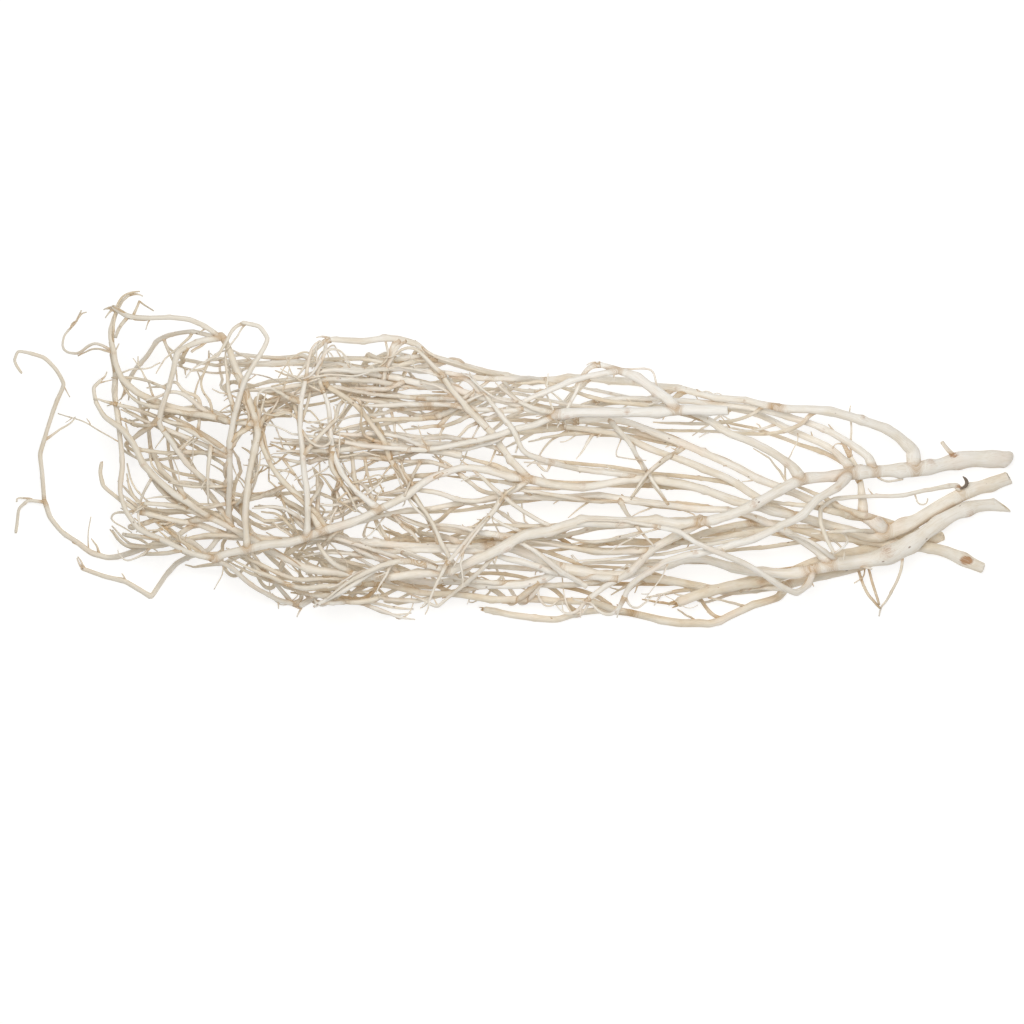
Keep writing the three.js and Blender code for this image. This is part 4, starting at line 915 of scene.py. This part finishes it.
# Cracks about 1 mm apart, lighter on their ridges.
cracks = add_node(bark.node_tree, "ShaderNodeTexNoise", Scale=900, Detail=3,
                  Vector=add_node(bark.node_tree, "ShaderNodeTexCoord").outputs["Object"])
shade = add_node(bark.node_tree, "ShaderNodeValToRGB", Fac=cracks.outputs["Fac"])
shade.color_ramp.elements[0].color, shade.color_ramp.elements[1].color = linear("#463B33"), linear("#9A8B7D")
crust = add_node(bark.node_tree, "ShaderNodeBump",
                 Strength=0.5, Distance=0.5 * MM, Height=cracks.outputs["Fac"])
bark.node_tree.links.new(shade.outputs[0], bark_surface.inputs["Base Color"])
bark.node_tree.links.new(crust.outputs[0], bark_surface.inputs["Normal"])
bark_surface.inputs["Roughness"].default_value = 0.85

stick = grown_limbs["branch_2_limb_h"][0]
torn_base = Vector(stick[3])
curl_steps = ((-2, -1, 1), (4, 1, 4), (8, 4, 7), (9, 8, 8), (7, 12, 9), (4, 15, 9))
curl = [torn_base + Vector(step) * MM for step in curl_steps]
curl_radii = np.array([1.0, 1.5, 2.4, 2.8, 2.1, 0.6]) * MM
curl_line, curl_radius, curl_along = flowing_line(curl, curl_radii, 1.2 * MM)
curl_mesh = bent_bar(curl_line, curl_radius, curl_along, random.Random(3), 10, 0, lumps=0.16)
on_branch("branch_2_bark_curl", curl_mesh, bark)

# ----------------------------------------------------------------------
# The studio: a plain white sweep of matt card under the bundle, lit from all round by large soft boxes.

card = bpy.data.materials.new("matt_white_card")
card.use_nodes = True
card_surface = card.node_tree.nodes["Principled BSDF"]
for key, value in (("Base Color", linear("#A8A7A5")), ("Roughness", 0.95), ("Specular IOR Level", 0.05),
                   ("Emission Color", linear("#FFFFFF")), ("Emission Strength", 0.7)):
    card_surface.inputs[key].default_value = value
sheet = bmesh.new()
bmesh.ops.create_grid(sheet, x_segments=1, y_segments=1, size=6)
floor_mesh = bpy.data.meshes.new("floor")
sheet.to_mesh(floor_mesh)
sheet.free()
floor_mesh.transform(Matrix.Translation((0, 0, -0.6 * MM)))
floor_mesh.materials.append(card)
floor = bpy.data.objects.new("floor", floor_mesh)
bpy.context.scene.collection.objects.link(floor)

world = bpy.data.worlds.new("studio")
world.use_nodes = True
sky = world.node_tree.nodes["Background"]
sky.inputs["Color"].default_value = linear("#FFFFFF")
sky.inputs["Strength"].default_value = 0.32
bpy.context.scene.world = world

for place, size, power in (((-0.2, 0.5, 3.0), 1.6, 62), ((1.8, -1.0, 2.4), 1.6, 10)):
    lamp = bpy.data.lights.new("soft_box", "AREA")
    lamp.shape, lamp.size, lamp.energy = "SQUARE", size, power
    soft_box = bpy.data.objects.new("soft_box", lamp)
    soft_box.location = place
    soft_box.rotation_mode = "QUATERNION"
    soft_box.rotation_quaternion = (-Vector(place)).to_track_quat("-Z", "Y")
    bpy.context.scene.collection.objects.link(soft_box)

bpy.context.scene.view_settings.view_transform = "Standard"
camera = bpy.data.objects.new("camera", bpy.data.cameras.new("camera"))
# It looks straight down from a long way off, and takes in 1.23 m at the height of the limbs.
CAMERA_HEIGHT, LIMB_HEIGHT, TAKEN_IN = 8.0, 0.06, 1.2288
camera.location = (-0.0035, -0.0618, CAMERA_HEIGHT)
camera.data.sensor_width = 36
camera.data.lens = 36 * (CAMERA_HEIGHT - LIMB_HEIGHT) / TAKEN_IN
camera.data.clip_end = 50
bpy.context.scene.collection.objects.link(camera)
bpy.context.scene.camera = camera
